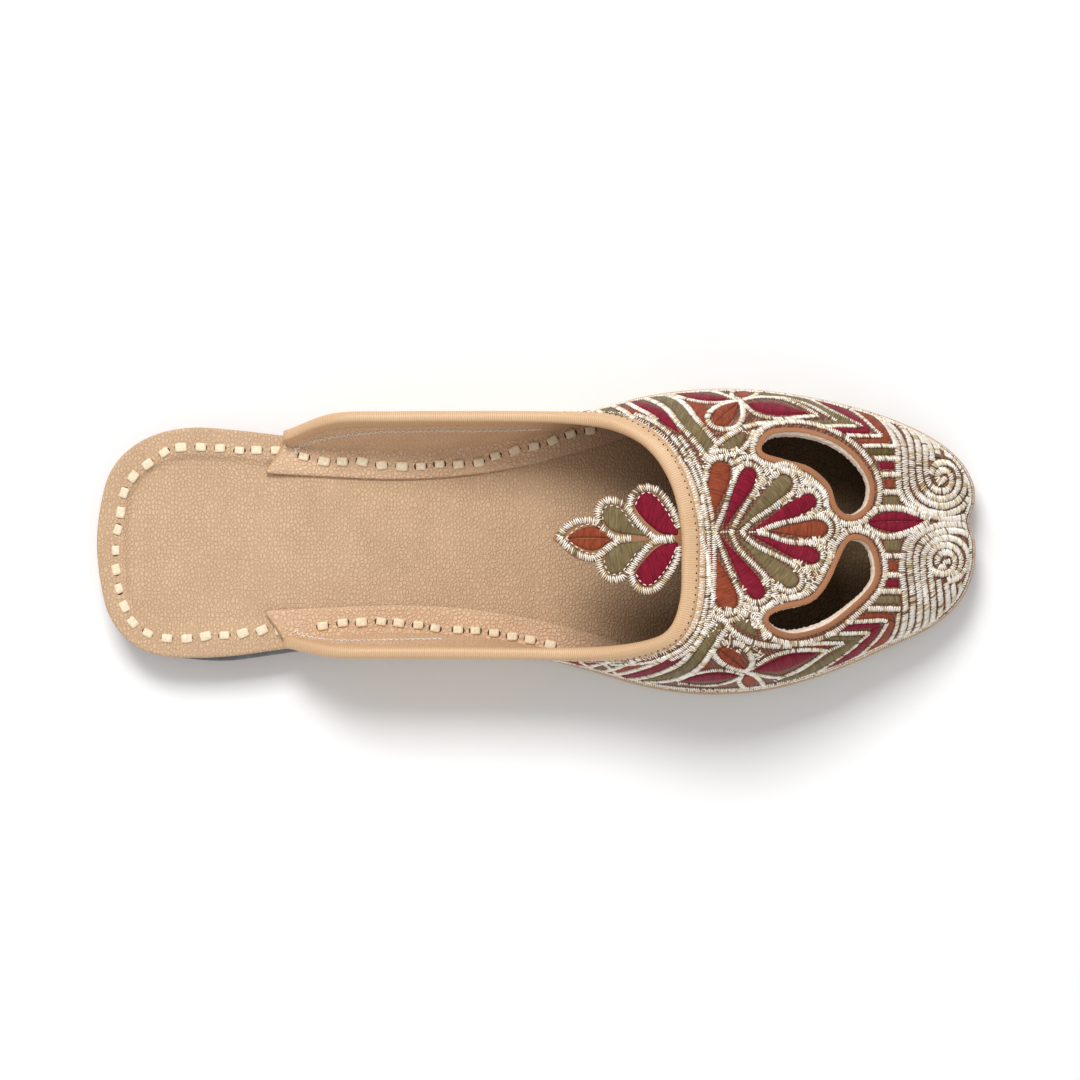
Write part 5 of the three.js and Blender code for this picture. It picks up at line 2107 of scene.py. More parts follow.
# Metal cords of each zone: width, then the points.
VAMP_CORDS = {
    "toe": (
        (1.7, 227.5, 19.7, 230.15, 19.75, 232.8, 19.7),
        (1.7, 228.2, 14.6, 230.4, 14.65, 232.6, 14.6),
        (1.7, 225.8, 24.3, 229.1, 24.35, 232.4, 24.3),
        (1.7, 228.4, -4, 230.6, -3.95, 232.8, -4),
        (1.7, 228, -9.5, 230.4, -9.45, 232.8, -9.5),
        (1.7, 226.5, -14.2, 229.65, -14.15, 232.8, -14.2),
        (1.7, 223.6, -19.2, 228, -19.15, 232.4, -19.2),
        (2, 222.8, 6.8, 225, 8.9, 227.8, 9.9, 232.8, 9.9, 236.7, 8.7, 241.1, 6.7),
        (2, 222.8, 4.9, 225.6, 2.8, 228.4, 1.7, 232.3, 2, 236.7, 3.7, 241.1, 6),
        (2.16, 225.6, 36.7, 228.9, 33.7, 230.9, 30.6, 232.1, 27.9, 232.4, 22.3, 232.7, 15.4, 234.7, 11.5,
         238.9, 8.9, 243.3, 7.6),
        (2.16, 227.8, 35.9, 230.9, 33.1, 233.1, 30.1, 234.2, 26.2, 234.4, 19.6, 235, 14.6, 237.5, 11.1,
         241.4, 8.9, 246.1, 8.3, 250.2, 9.9, 252.4, 12.6),
        (2.16, 230.3, 35.4, 233.4, 33.1, 235.3, 30.6, 236.2, 26.2, 236.4, 19.6, 237.2, 15.4, 240, 12.3,
         244.4, 10.6, 248.3, 11.4, 250.9, 13.9, 251.8, 17.6, 251, 21.2, 248.9, 23.8, 246.1, 25.2),
        (2.16, 232.8, 34.5, 235.6, 32.6, 237.5, 30.1, 238.3, 26.8, 238.4, 20.7, 239.5, 16, 242, 13.4,
         245.2, 12.6, 248.4, 14, 249.8, 17.2, 249.2, 20.8, 246.6, 23, 243.3, 22.6, 241.8, 20),
        (2.16, 235, 33.7, 237.5, 32, 239.5, 29.5, 240.3, 26.8, 240.4, 21.2, 241.2, 17.2, 243.4, 15.2,
         246.2, 15.1, 247.8, 17.4, 247, 20.2, 244.8, 20.9, 243.5, 19.2, 244.4, 17.2),
        (2.16, 237.5, 32.6, 239.5, 30.9, 241.1, 28.7, 242.1, 26.2, 242.2, 23.8),
        (2.16, 240, 31.2, 241.7, 29.8, 243.1, 27.9, 243.8, 26.2, 243.9, 24.8),
        (2.16, 242.5, 29.8, 244.2, 28.2, 245.4, 26.8),
        (2.16, 244.5, 29, 246.9, 27, 249.7, 24.9, 251.9, 22.1, 253.1, 18.2, 253.2, 14, 252.8, 10.7,
         252.8, 8.6),
        (2.16, 243.9, 6.9, 248.3, 6.8, 251.1, 7.4),
        (2.16, 240.7, 5.3, 236.8, 2.6, 234.5, -0.9, 233.4, -5.1, 233.3, -9.5, 233.9, -13.9, 234.2, -18.4,
         233.9, -22.8, 232.7, -26.6, 230, -29.6),
        (2.16, 252.4, 4.6, 249, 5.3, 244.2, 4.9, 240.1, 3.4, 236.9, 0.9, 235.6, -2.4, 235.4, -6.2,
         235.8, -11, 236.3, -15.4, 236.2, -19.8, 235.6, -24, 233.9, -27.2),
        (2.16, 254.3, -1.5, 252.9, 1.5, 249.9, 3.2, 245.7, 3.2, 241.6, 1.9, 238.8, -0.5, 237.5, -3.6,
         237.4, -7, 237.8, -11, 238.3, -15.4, 238.3, -19.8, 237.9, -23.4, 236.8, -25.8),
        (2.16, 246.6, -11, 249.6, -10, 251.9, -6.9, 252.2, -3.1, 250.3, -0.1, 246.8, 1.3, 243, 0.4,
         240.2, -2.2, 239.4, -5.6, 239.5, -11, 240.1, -15.4, 240.4, -19.3, 240.1, -22.5, 239.2, -24.6),
        (2.16, 245.6, -6.9, 244.1, -7.3, 243.4, -5.2, 244.9, -3.1, 247.4, -3.2, 248.6, -5.6, 247.5, -8.2,
         244.8, -9.1, 242, -8, 241.2, -5.2, 242.6, -2, 245.9, -0.8, 249, -2, 250.4, -5.2, 249.4, -8.4,
         246.8, -9.8),
        (2.16, 241.4, -8.6, 241.7, -11, 242.2, -15.4, 242.3, -18.7, 241.9, -22.5),
        (2.16, 243.8, -11, 244.1, -13.9, 244.4, -17.5, 244.1, -21),
        (2.16, 245.9, -12, 246.3, -13.9, 246.5, -17.2, 246.2, -20.1),
        (2.16, 247.9, -12.2, 248.2, -15.4, 247.9, -18.2),
        (2.16, 249.8, -12, 250, -14, 249.6, -16.2),
        (2.16, 254.2, -3.6, 254.2, -7.4, 253.2, -11, 251.6, -13.6),
        (1.6, 244.6, 17.2, 245.2, 18, 245.9, 18.6),
        (1.6, 245.4, -6, 246.1, -5.6, 246.9, -5.5),
    ),
    "inner_side": (
        (1.8, 142.4, 39.4, 145.2, 38, 147.9, 36.3),
        (1.8, 142.8, 40.4, 145.6, 40.3, 149, 39.6, 152.7, 38, 155.6, 35.9),
        (1.8, 144.2, 40.9, 149, 41.1, 153.4, 40.4, 157.1, 38.5, 160.1, 37, 162.3, 35.4),
        (1.8, 150.5, 42, 154.9, 42.2, 159.3, 41.5, 163, 40, 166, 37.8, 168.6, 34.4, 172.3, 30.4,
         177.1, 24.5),
        (1.8, 159.3, 42.8, 163.8, 42.7, 168.2, 41.5, 171.2, 39.2, 173.4, 36.3, 176.3, 33, 179.7, 28.9),
        (1.4, 164.5, 43.2, 169.7, 43.9, 175.6, 43.9, 180.4, 43.2, 185, 41.4),
        (1.5, 166.7, 42.8, 171.2, 41.4, 176, 40.5, 180.4, 40.4, 184.8, 40.8),
        (1.8, 186.7, 41.1, 183, 40.4, 179.7, 39.2, 177.6, 37.4, 177.1, 35.4, 178.6, 33.6, 181.9, 32.7,
         185.2, 33.3, 187.1, 35.6, 187.4, 38.5, 186.7, 41.1),
        (1.4, 186.6, 41.4, 184.3, 42.2, 184.6, 43.6, 187, 44.5, 189.8, 44.4, 191.6, 43, 188, 41.2),
        (1.8, 177.4, 23.6, 178.9, 27, 180.8, 29.3, 184.1, 31.5, 187.8, 33.3, 192.6, 34.4, 199, 34.6),
        (1.7, 179, 24.6, 183, 25.4, 186.8, 26.6, 189.4, 29.6, 190.6, 32.2),
        (1.6, 187.8, 41.4, 193, 42, 199, 41.4, 204, 39.6, 208.8, 37),
        (1.6, 187.6, 40, 191.6, 36.9, 198, 35.7, 204, 36.2, 208.8, 36.6),
        (1.5, 194, 42, 200, 41.6, 206, 39.9, 210.5, 37.6, 214.3, 35.2),
        (1.5, 204, 42.6, 209.6, 39.9, 212.7, 38.2, 216.6, 36.3, 219.7, 34.7, 221.6, 33.6, 215.8, 33.7,
         209.6, 33.4),
        (1.5, 212.6, 40.6, 217.9, 38.6, 221, 36.8, 223.5, 34.7, 225.6, 32.6, 227.4, 30.9, 223.5, 30.8,
         217.8, 31),
        (1.5, 223.6, 37.9, 225.6, 36.8, 227.9, 34.7, 229.9, 32.2, 231, 29.8, 231.3, 27.9, 227.7, 28,
         222.3, 27.9),
    ),
    "outer_side": (
        (1.8, 180.2, -19.4, 182, -23, 184.8, -26.2, 189, -28.6, 194.5, -29.8, 201, -29.9),
        (1.7, 181.8, -19.2, 186, -20.2, 190.4, -22, 192.6, -25, 193.6, -27.8),
        (1.8, 134.2, -36.6, 139.7, -36.4, 143.4, -35.5, 148.6, -34.2),
        (1.8, 137.2, -37.3, 143.4, -37.3, 149, -36.6, 153.4, -35, 157.1, -33.5),
        (1.8, 140.5, -37.9, 146.4, -38.3, 151.9, -37.7, 157.1, -36.4, 161.6, -34.8, 164.9, -33.1),
        (1.8, 147.1, -38.8, 154.5, -39.3, 160.1, -38.5, 165.6, -36.6, 169.3, -34.6, 172.6, -31.3,
         175.6, -27.2, 178.9, -22.8),
        (1.8, 157.9, -40.1, 164.9, -39.9, 170.4, -38.4, 174.9, -35.7, 177.8, -32, 180.4, -27.9,
         182.9, -24.6),
        (1.5, 168.2, -39.6, 172.6, -37.9, 177.8, -36.9, 182.3, -36.8, 186.6, -37.7),
        (1.5, 168.6, -40.3, 174.9, -41.1, 180.4, -40.8, 184.1, -39.8, 186.6, -38.5),
        (1.8, 187.6, -37, 183.4, -35.9, 180, -33.9, 178.6, -31.6, 180, -29.7, 183.4, -29, 186.7, -29.6,
         189, -32, 189.8, -35, 187.9, -37.2),
        (1.5, 187, -37.9, 186, -40.1, 188, -42, 191, -42.4, 193, -41.2, 191, -38.6, 188.2, -37.3),
        (1.6, 189.4, -36.4, 195.5, -32.9, 201.5, -31.2, 208, -30.9, 211, -31.2),
        (1.6, 189.6, -37.6, 197, -38.8, 203.5, -36.8, 211, -31.6),
        (1.5, 216.2, -29.1, 211.2, -31.5, 207.3, -34, 203, -36.6, 196.6, -39.6),
        (1.5, 203.8, -29.4, 209.7, -29.1, 216.4, -28.9),
        (1.5, 205, -39.3, 208.2, -37.5, 213.5, -34.2, 218.6, -30.6, 221.5, -27.9, 223.4, -26.1, 218, -26.2,
         211.6, -26.4),
        (1.5, 211.6, -37.3, 215, -35.4, 218.3, -33.7, 221.5, -31.8, 224.5, -29.1, 227.1, -26.2,
         228.6, -22.7, 223, -22.7, 217, -23.1),
        (1.5, 220.6, -34.4, 225.7, -31.2, 228.3, -29.1, 230.3, -27.1, 231.6, -24.1, 232.2, -20.6),
    ),
}
# Areas of loose stitches: between fan and openings, and behind them on the inner and the outer side.
FAN_GROUND = (
    177.5, 24.5, 180.5, 27.5, 184.5, 28.0, 188.0, 26.5, 191.5, 25.0, 194.0, 22.9, 200.0, 23.6,
    206.5, 20.8, 211.3, 16.0, 213.6, 10.5, 217.0, 6.6, 222.5, 4.6, 217.0, 2.0, 214.0, -3.5,
    211.6, -10.0, 208.0, -15.2, 203.0, -18.0, 197.0, -19.0, 193.5, -21.5, 192.0, -25.0,
    187.5, -23.5, 182.0, -23.0, 178.6, -20.5, 178.0, -10.0, 177.0, 0.0, 177.0, 12.0,
)
SIDE_GROUND = (
    170.5, 24.5, 174.5, 22.0, 178.0, 21.5, 184.0, 27.0, 192.0, 30.0, 193.0, 34.5, 184.0, 31.0, 178.5, 28.0,
)


@dataclass
class Vamp:
    """The embroidery of the vamp: fan, openings, ladder, toe scrolls, flowers, bands and chevrons."""

    work: Embroidery

    def fan(self) -> None:
        """Nine petals, the cords round their heads and the cords that part them."""
        for petal in FAN:
            self.work.petal(petal)
            self.work.guard(petal.sides(np.linspace(0, 1, 20))[0], petal.half)
            self.work.cord("fan", petal.outline(1.1, 0.8)[::4], 1.8)
        for parting in FAN_PARTINGS:
            self.work.cord("fan", parting, 1.7)
        for s in (175.6, 180.9, 189.2):
            self.work.cord("fan", (s, 2.9, s + 1.1, 3.0, s + 2.2, 3.05), 0.6)
        for petal in FAN:
            self.work.cord("fan", petal.outline(3.15, 0.9)[::4], 1.7)

    def openings(self) -> None:
        """A cord round each opening's band."""
        for opening in OPENINGS:
            self.work.cord("openings", opening.outline(2.75, 0.8)[::4], 1.9, closed=True)
            self.work.guard(opening.outline(0.0, 0.8), 1.9)

    def ground(self) -> None:
        """Loose stitches between the fan, the openings and the sides."""
        self.work.scatter(FAN_GROUND, 0.72, (1.7, 0.6, 0.5), 3)
        self.work.guard(np.array([(182.5, 28.4), (184.5, 29.2), (186.6, 30.4)]), 2.1)
        self.work.guard(np.array([(185.4, -22.8), (187.4, -24.2), (189.6, -25.6)]), 2.0)
        for side in (1.0, -1.0):
            outline = np.reshape(SIDE_GROUND, (-1, 2)) * (1.0, side)
            self.work.scatter(outline, 0.85, (1.1, 0.5, 0.45), 5)

    def stitch(self) -> None:
        """Lay out everything."""
        self.fan()
        self.openings()
        for silk, back, front, high, low in LADDER_BLOCKS:
            self.work.between(silk, (back, high, front, high), (back, low, front, low), 0.4)
        for petal in SINGLE_PETALS:
            self.work.petal(petal)
        for silk, lift, one, other in VAMP_FILLS:
            self.work.between(silk, one, other, lift)
        for silk, *corners in VAMP_BANDS:
            self.work.band(silk, corners)
        for zone, cords in VAMP_CORDS.items():
            for width, *corners in cords:
                self.work.cord(zone, corners, width)
        self.ground()


@dataclass
class Throat:
    """Needle holes, flat edge and fringe of cords along the binding, all on the upper's outer face."""

    hole_pitch: float = 2.0
    hole_up: float = 0.85
    first_row: float = 12.2
    last_row: float = 40.6
    hole_beyond: tuple[float, float] = (4.5, 3.5)
    reach: tuple[float, float] = (1.0, 2.2)
    reach_rows: tuple[float, float] = (14.5, 19.0)
    profile: tuple[tuple[float, float], ...] = (
        (0.0, 0.0), (0.1, 0.3), (0.5, 0.36), (0.92, 0.26), (1.0, 0.0), (1.0, -0.4), (0.0, -0.4),
    )
    leather: LeatherFinish = LeatherFinish("flange_leather", (226, 192, 158), (196, 158, 124), 0.7)

    def line(self, first: float, last: float, beyond: float, step: float = STITCH_STEP) -> Spots:
        """Spots on the outer face along the binding's lower edge.

        Args:
            first: Row it starts at.
            last: Row it ends at.
            beyond: Distance below the binding's edge.
            step: Distance between the spots.

        Returns:
            The spots and the outward directions.
        """
        rows = np.arange(first, last, 0.1)
        angles = np.array([FORM.rib_angles(r, np.array([FORM.binding_at(r) + beyond]))[0] for r in rows])
        return respaced(FORM.face(rows, angles), FORM.normal(rows, angles), step)

    def holes(self, tree: bpy.types.NodeTree) -> None:
        """A row of needle holes near the binding's lower edge, drawn as dark spots of painted shade.

        Args:
            tree: Node tree of the holes.
        """
        lay = Lay()
        first, last = self.first_row - self.hole_beyond[0], self.last_row + self.hole_beyond[1]
        spots, ups = self.line(first, last, -self.hole_up, self.hole_pitch)
        lay.add(spots + ups * 0.64, ups, unit(np.gradient(spots, axis=0)), (0.62, 0.42, 0.16))
        # Painted shade: each dark spot stands for the hollow of a needle hole.
        dark = PlainFinish("needle_hole", (70, 48, 34), (44, 28, 20), 0.5, 0.0, 0.9).build()
        Stitching("needle_holes", "binding_leather", tree, dark, 8, 0.1).build(lay)

    def flange(self) -> None:
        """The flat edge of the binding's leather, sewn down on the cloth."""
        rows = np.arange(self.first_row - 0.2, self.last_row + 0.2, 0.1)
        across, lift = np.array(self.profile).T
        loops = []
        for row in rows:
            reach = mix(*self.reach, float(smooth(*self.reach_rows, FORM.side(row))))
            angles = FORM.rib_angles(row, FORM.binding_at(row) + (reach * across - 0.35))
            same = np.full(len(angles), row)
            loops.append(FORM.face(same, angles) + FORM.normal(same, angles) * lift[:, None])
        data = MeshData(np.concatenate(loops), tube_faces(len(rows), len(lift)))
        Piece("binding_flange", "binding_leather", data, [self.leather.build()]).build()

    def fringe(self, work: Embroidery) -> None:
        """Cords beside the flange, and loose strokes that sew it down.

        Args:
            work: The embroidery that it goes to.
        """
        for trim, beyond in ((1.6, 2.6), (3.6, 4.2)):
            work.cord_on("throat", self.line(self.first_row + trim, self.last_row - trim, beyond), 1.6)
        spots, ups = self.line(self.first_row, self.last_row, 0.75, 0.75)
        rng = np.random.default_rng(21)
        run = unit(np.gradient(spots, axis=0))
        down = unit(np.cross(run, ups) + run * rng.normal(0.15, 0.3, (len(spots), 1)))
        shift = rng.normal(0, 0.2, (len(spots), 1))
        work.loose.add(spots + ups * 0.42 + down * shift, ups, down, (1.9, 0.36, 0.34))


@dataclass
class LiningSeam:
    """The loose pale zigzag seam on the lining, below the binding."""

    inside: Surface
    pitch: float = 0.8
    size: Triple = (2.2, 0.4, 0.34)
    lines: tuple[Line, ...] = (
        (56.5, 25.4, 58.8, 28.0, 62.3, 29.4, 67.9, 30.6, 73.5, 31.4, 84.8, 32.3, 101.6, 32.5, 112.8, 32.5,
         128.5, 33.0),
        (57.5, -25.9, 61.2, -27.3, 66.8, -28.2, 73.5, -28.5, 80.3, -28.4, 90.3, -28.2, 99.3, -28.0),
    )

    def build(self, tree: bpy.types.NodeTree) -> None:
        """Make the seam.

        Args:
            tree: Node tree of the stitches.
        """
        lay = Lay()
        rng = np.random.default_rng(31)
        for corners in self.lines:
            spots, ups = self.inside.seen(drawn(corners, self.pitch))
            count = len(spots)
            ups = ups * np.sign(((np.array(CHART.eye) - spots) * ups).sum(1, keepdims=True))
            run = unit(np.gradient(spots, axis=0))
            side = np.cross(ups, run)
            swing = np.resize([1.0, -1.0], (count, 1)) * rng.uniform(0.5, 1.3, (count, 1))
            shift = side * rng.normal(0, 0.15, (count, 1))
            lay.add(spots + ups * 0.12 + shift, ups, unit(run * 0.5 + side * swing), self.size)
        pale = PlainFinish("seam_thread", (250, 244, 236), (222, 210, 194), roughness=0.6).build()
        Stitching("lining_seam", "silk_thread", tree, pale, 12, 0.25).build(lay)


@dataclass
class Hem:
    """Long silk bands that run round the foot of the wall, each as far as the wall is high enough for it."""

    fence: Fence
    rise: float = 1.3
    step: float = 4.5
    width: float = 3.1
    cord_gap: float = 0.6
    least_rows: int = 12
    upright_half: float = 0.155
    silks: tuple[Silk, ...] = (Silk.UMBER, Silk.RUST, Silk.CRIMSON, Silk.OLIVE, Silk.RUST)
    # Colour of each upright band, and its row at the foot and at the top.
    uprights: tuple[tuple[Silk, float, float], ...] = (
        (Silk.OLIVE, 40.45, 40.5), (Silk.CRIMSON, 39.97, 39.95), (Silk.RUST, 39.5, 39.4),
        (Silk.RUST, 12.38, 12.36),
    )

    def spans(self, tall: Array, rise: float) -> list[Array]:
        """Runs of row numbers in which the wall below the fence is higher than a distance.

        Args:
            tall: Height of the wall at each row.
            rise: The distance.

        Returns:
            The runs, without the short ones.
        """
        high = tall > rise
        cuts = np.flatnonzero(np.diff(high.astype(int))) + 1
        parts = np.split(np.arange(len(tall)), cuts)
        return [part for part in parts if high[part[0]] and len(part) > self.least_rows]

    def band(self, work: Embroidery, silk: Silk, net: Array) -> None:
        """Make a silk band, with a cord along one side.

        Args:
            work: The embroidery that it goes to.
            silk: Its colour.
            net: Spots and outward directions, row by row. The last column is the cord.
        """
        fill, cord = net[:, :-1], net[:, -1]
        width = np.linalg.norm(fill[:, 0, :3] - fill[:, -1, :3], axis=1)
        spots = (fill[..., :3].reshape(-1, 3), fill[..., 3:].reshape(-1, 3))
        work.fill(silk, spots, run_lengths(fill[:, work.across // 2, :3]), width, 0.45)
        work.cord_on("hem", respaced(cord[:, :3], cord[:, 3:]), 1.4)

    def upright(self, work: Embroidery, silk: Silk, foot: float, top: float) -> None:
        """Fill a band that runs up the wall near the cloth's rear edge, above the long bands.

        Args:
            work: The embroidery that it goes to.
            silk: Its colour.
            foot: Row of its lower end.
            top: Row of its upper end.
        """
        ahead = self.upright_half if foot < FORM.rows / 2 else -self.upright_half
        offsets = ahead * np.append(np.linspace(-1, 1, work.across), 1.4)
        net = []
        for share in np.linspace(0, 1, 18):
            middle = mix(foot, top, share)
            low = float(self.fence.heights(np.array([middle]))[0]) + 1.0
            rise = mix(low, FORM.rib_length(middle) - FORM.binding_at(middle) - 1.6, share)
            net.append([self.fence.above_foot(middle + offset, np.array([rise]))[0] for offset in offsets])
        self.band(work, silk, np.array(net))

    def stitch(self, work: Embroidery) -> None:
        """Lay the bands, the cord along the fence and the cords on the joints of cloth and leather.

        Args:
            work: The embroidery that they go to.
        """
        fence = self.fence
        rows = np.arange(CLOTH_ROWS[0] + 0.1, CLOTH_ROWS[1] - 0.05, 0.1)
        tall = fence.heights(rows)
        for number, silk in enumerate(self.silks):
            low = self.rise + number * self.step
            for span in self.spans(tall, low + 0.8):
                nets = []
                for k in span:
                    high = min(low + self.width, tall[k] - 0.2)
                    rises = np.append(np.linspace(high, low, work.across), low - self.cord_gap)
                    nets.append(fence.above_foot(rows[k], rises))
                self.band(work, silk, np.array(nets))
        for silk, foot, top in self.uprights:
            self.upright(work, silk, foot, top)
        line = respaced(FORM.face(fence.rows, fence.angles), FORM.normal(fence.rows, fence.angles))
        work.cord_on("hem", line, 1.6)
        for row in CLOTH_ROWS:
            rises = np.arange(0.3, FORM.rib_length(row) - FORM.binding_at(row) + 0.4, STITCH_STEP)
            both = fence.above_foot(row, rises)
            work.cord_on("hem", (both[:, :3], both[:, 3:]), 2.2)


# Outline of the tongue's leather.
LEAF_EDGE = (
    132.2, 1, 135, 4.8, 138.4, 7.1, 141.7, 7.8, 144.1, 8.2, 144.7, 11.1, 146.7, 13.1, 149.7, 13.5,
    152.9, 11.9, 154.3, 13.3, 156, 15.8, 159, 16.8, 162.7, 15.8, 165.7, 12.8, 167.7, 9.5, 170.2, 7.6,
    176.6, 8, 176.6, -5.4, 170.2, -5, 167.3, -9.2, 165, -12.2, 162.3, -14.7, 159.4, -15.3, 156.7, -14.2,
    154.7, -11.9, 154, -9.9, 151.7, -11.4, 149, -11.9, 147, -10.9, 145.4, -8.6, 144.7, -5.9, 142.7, -5.7,
    139.4, -4.9, 136.7, -3.2, 133.7, -0.3,
)
# Silk lobes of the tongue: colour, one edge, the other edge.
LEAF_FILLS = (
    (Silk.RUST, (136, 1.3, 139.5, 3.6, 142.5, 4.7, 145.5, 4.2, 149.7, 1.4),
     (136, 1.2, 142, 1.25, 149.7, 1.2)),
    (Silk.RUST, (136, 1.1, 142, 1.15, 149.7, 1.1),
     (136, 1, 139, -0.9, 142.5, -2.4, 145.5, -2, 149.7, 1)),
    (Silk.OLIVE, (146.4, 7.5, 146.9, 10, 148.9, 11, 151.3, 10.4, 153.2, 8.6, 155.6, 5.2, 158.6, 2.8,
      161.4, 1.9),
     (146.4, 7.3, 147.4, 5.2, 149.6, 3.2, 152.8, 2.4, 157, 2.1, 161.4, 1.8)),
    (Silk.OLIVE, (147, -6.2, 147.9, -8.6, 149.8, -9.6, 152.1, -9.1, 154, -7, 156.4, -3.6, 159, -1,
      161.4, 0.6),
     (147, -6, 147.6, -3.4, 149.6, -1.2, 152.8, -0.1, 157, 0.3, 161.4, 0.7)),
    (Silk.CRIMSON, (168.6, 3.2, 166, 8.8, 163.2, 12.6, 160.4, 14.8, 157.6, 14.4, 155.8, 11.6),
     (168.5, 2, 164, 2.5, 161, 4.4, 158.3, 7, 156.2, 9.9, 155.8, 11.4)),
    (Silk.CRIMSON, (168.6, -1.4, 166.3, -6.4, 163.6, -10.2, 160.8, -12.7, 158, -12.6, 156, -9.9),
     (168.5, 0.2, 164.2, -0.6, 161.2, -2.5, 158.5, -5.4, 156.4, -8.2, 156, -9.7)),
)
# Metal cords round its lobes.
LEAF_CORDS = (
    (133.9, 1.9, 136.1, 4.5, 139.1, 6.1, 142.4, 6.5, 145, 5.8, 147, 3.8, 149.4, 1.8, 151.4, 1, 154.7, 1.2),
    (133.9, 1.7, 135.7, -0.5, 138.4, -2.8, 141.7, -4.3, 144.4, -4.5, 146.4, -3.2, 148.4, -1.5, 151.4, 0.6),
    (145.4, 6.5, 145.2, 8.8, 146.4, 11.5, 148.7, 12.3, 151.4, 11.8, 153.4, 10.5, 154.7, 8.8, 156.7, 5.8,
     159.4, 3.2, 162, 1.3, 167.3, 1.3),
    (154.7, 9.5, 154.7, 12.5, 156.4, 15, 159, 16, 162, 15.5, 164.3, 13.5, 166.3, 10.5, 168, 7.1,
     168.8, 4.5),
    (145.5, -5.2, 146, -7.8, 147.7, -10.2, 149.7, -10.8, 152.4, -10.2, 154.4, -8.2, 156.4, -5.5, 159, -2.2,
     161.7, 0.2, 166.7, 0.9),
    (154.7, -8.2, 155.4, -11.2, 157, -13.5, 159.4, -14.1, 162, -13.5, 164.3, -11.2, 166.3, -8.5,
     168.3, -4.8, 168.8, -1.5),
)
# Running stitches inside the cords.
LEAF_RUNNING = (
    (136.4, 0.9, 139, -1.3, 142.4, -3.1, 145.3, -2.8, 148.4, -0.5),
    (136.4, 1.6, 139.2, 4, 142.4, 5.2, 145.2, 4.7, 148.4, 2.3),
    (146.7, 7, 146.8, 9.4, 148.8, 10.6, 151.2, 10.1, 153.2, 8.1, 155.4, 4.9),
    (147.2, -5.6, 148, -8.3, 149.8, -9.3, 152, -8.7, 153.9, -6.6, 156, -3.6),
    (156.4, 11.4, 157.8, 13.9, 160.4, 14.3, 163, 12.2, 165.6, 8.6, 167.6, 4.8),
    (156.6, -9.7, 158.2, -12, 160.7, -12.2, 163.4, -9.8, 165.9, -6.3, 167.6, -2.6),
)


@dataclass
class Leaf:
    """The five-lobed tongue of embroidered leather that reaches back from the throat."""

    slope: float = 0.07
    droop: float = 0.3
    throat: float = 168.3
    height: float = 47.1
    crown: float = 0.2
    half_width: float = 15.0
    thick: float = 1.6
    rounding: float = 0.35
    leather: LeatherFinish = LeatherFinish("leaf_leather", (176, 128, 88), (138, 92, 58), 0.5)

    def surface(self) -> Surface:
        """The leaf's upper face, wider than the leaf itself.

        Returns:
            The face, which the embroidery lies on.
        """
        s, y = np.meshgrid(np.arange(126, 180, 1.0), np.arange(-22, 23, 1.0), indexing="ij")
        behind = self.throat - s
        z = self.height - np.where(behind > 0, self.slope * behind, -self.droop * behind)
        z = z + self.crown * (1 - (y / self.half_width) ** 2)
        points = np.stack([s, y, z], axis=-1).reshape(-1, 3)
        return Surface(points, grid_faces(*s.shape, wrapped=False))

    def build(self) -> Embroidery:
        """Make the leather and lay out the embroidery on it.

        Returns:
            The embroidery, still to be built.
        """
        face = self.surface()
        flat = drawn(LEAF_EDGE, closed=True)[:-1]
        rings, soft = [], self.rounding
        for inset, down in ((soft, 0.0), (0.0, soft), (0.0, self.thick - soft), (soft, self.thick)):
            spots, ups = face.seen(beside(np.vstack([flat, flat[:1]]), -inset)[:-1])
            rings.append(spots - ups * down)
        data = MeshData(np.concatenate(rings), tube_faces(len(rings), len(flat)))
        Piece("leaf", "upper_cloth", data, [self.leather.build()], ("tongue",)).build()
        work = Embroidery("leaf", face)
        for silk, one, other in LEAF_FILLS:
            work.between(silk, one, other)
        for path in LEAF_CORDS:
            work.cord("leaf", path, 2.1)
        return work

    def running(self, tree: bpy.types.NodeTree, work: Embroidery) -> None:
        """Pale running stitches just inside the cords.

        Args:
            tree: Node tree of the stitches.
            work: The tongue's embroidery.
        """
        lay = Lay()
        for corners in LEAF_RUNNING:
            spots, ups = work.seen(drawn(corners, 1.75))
            lay.add(spots + ups * 0.5, ups, unit(np.gradient(spots, axis=0)), (1.15, 0.4, 0.35))
        pale = PlainFinish("running_thread", (250, 246, 236), (220, 208, 190), roughness=0.5).build()
        Stitching("leaf_running_stitches", "silk_thread", tree, pale, 14, 0.1).build(lay)


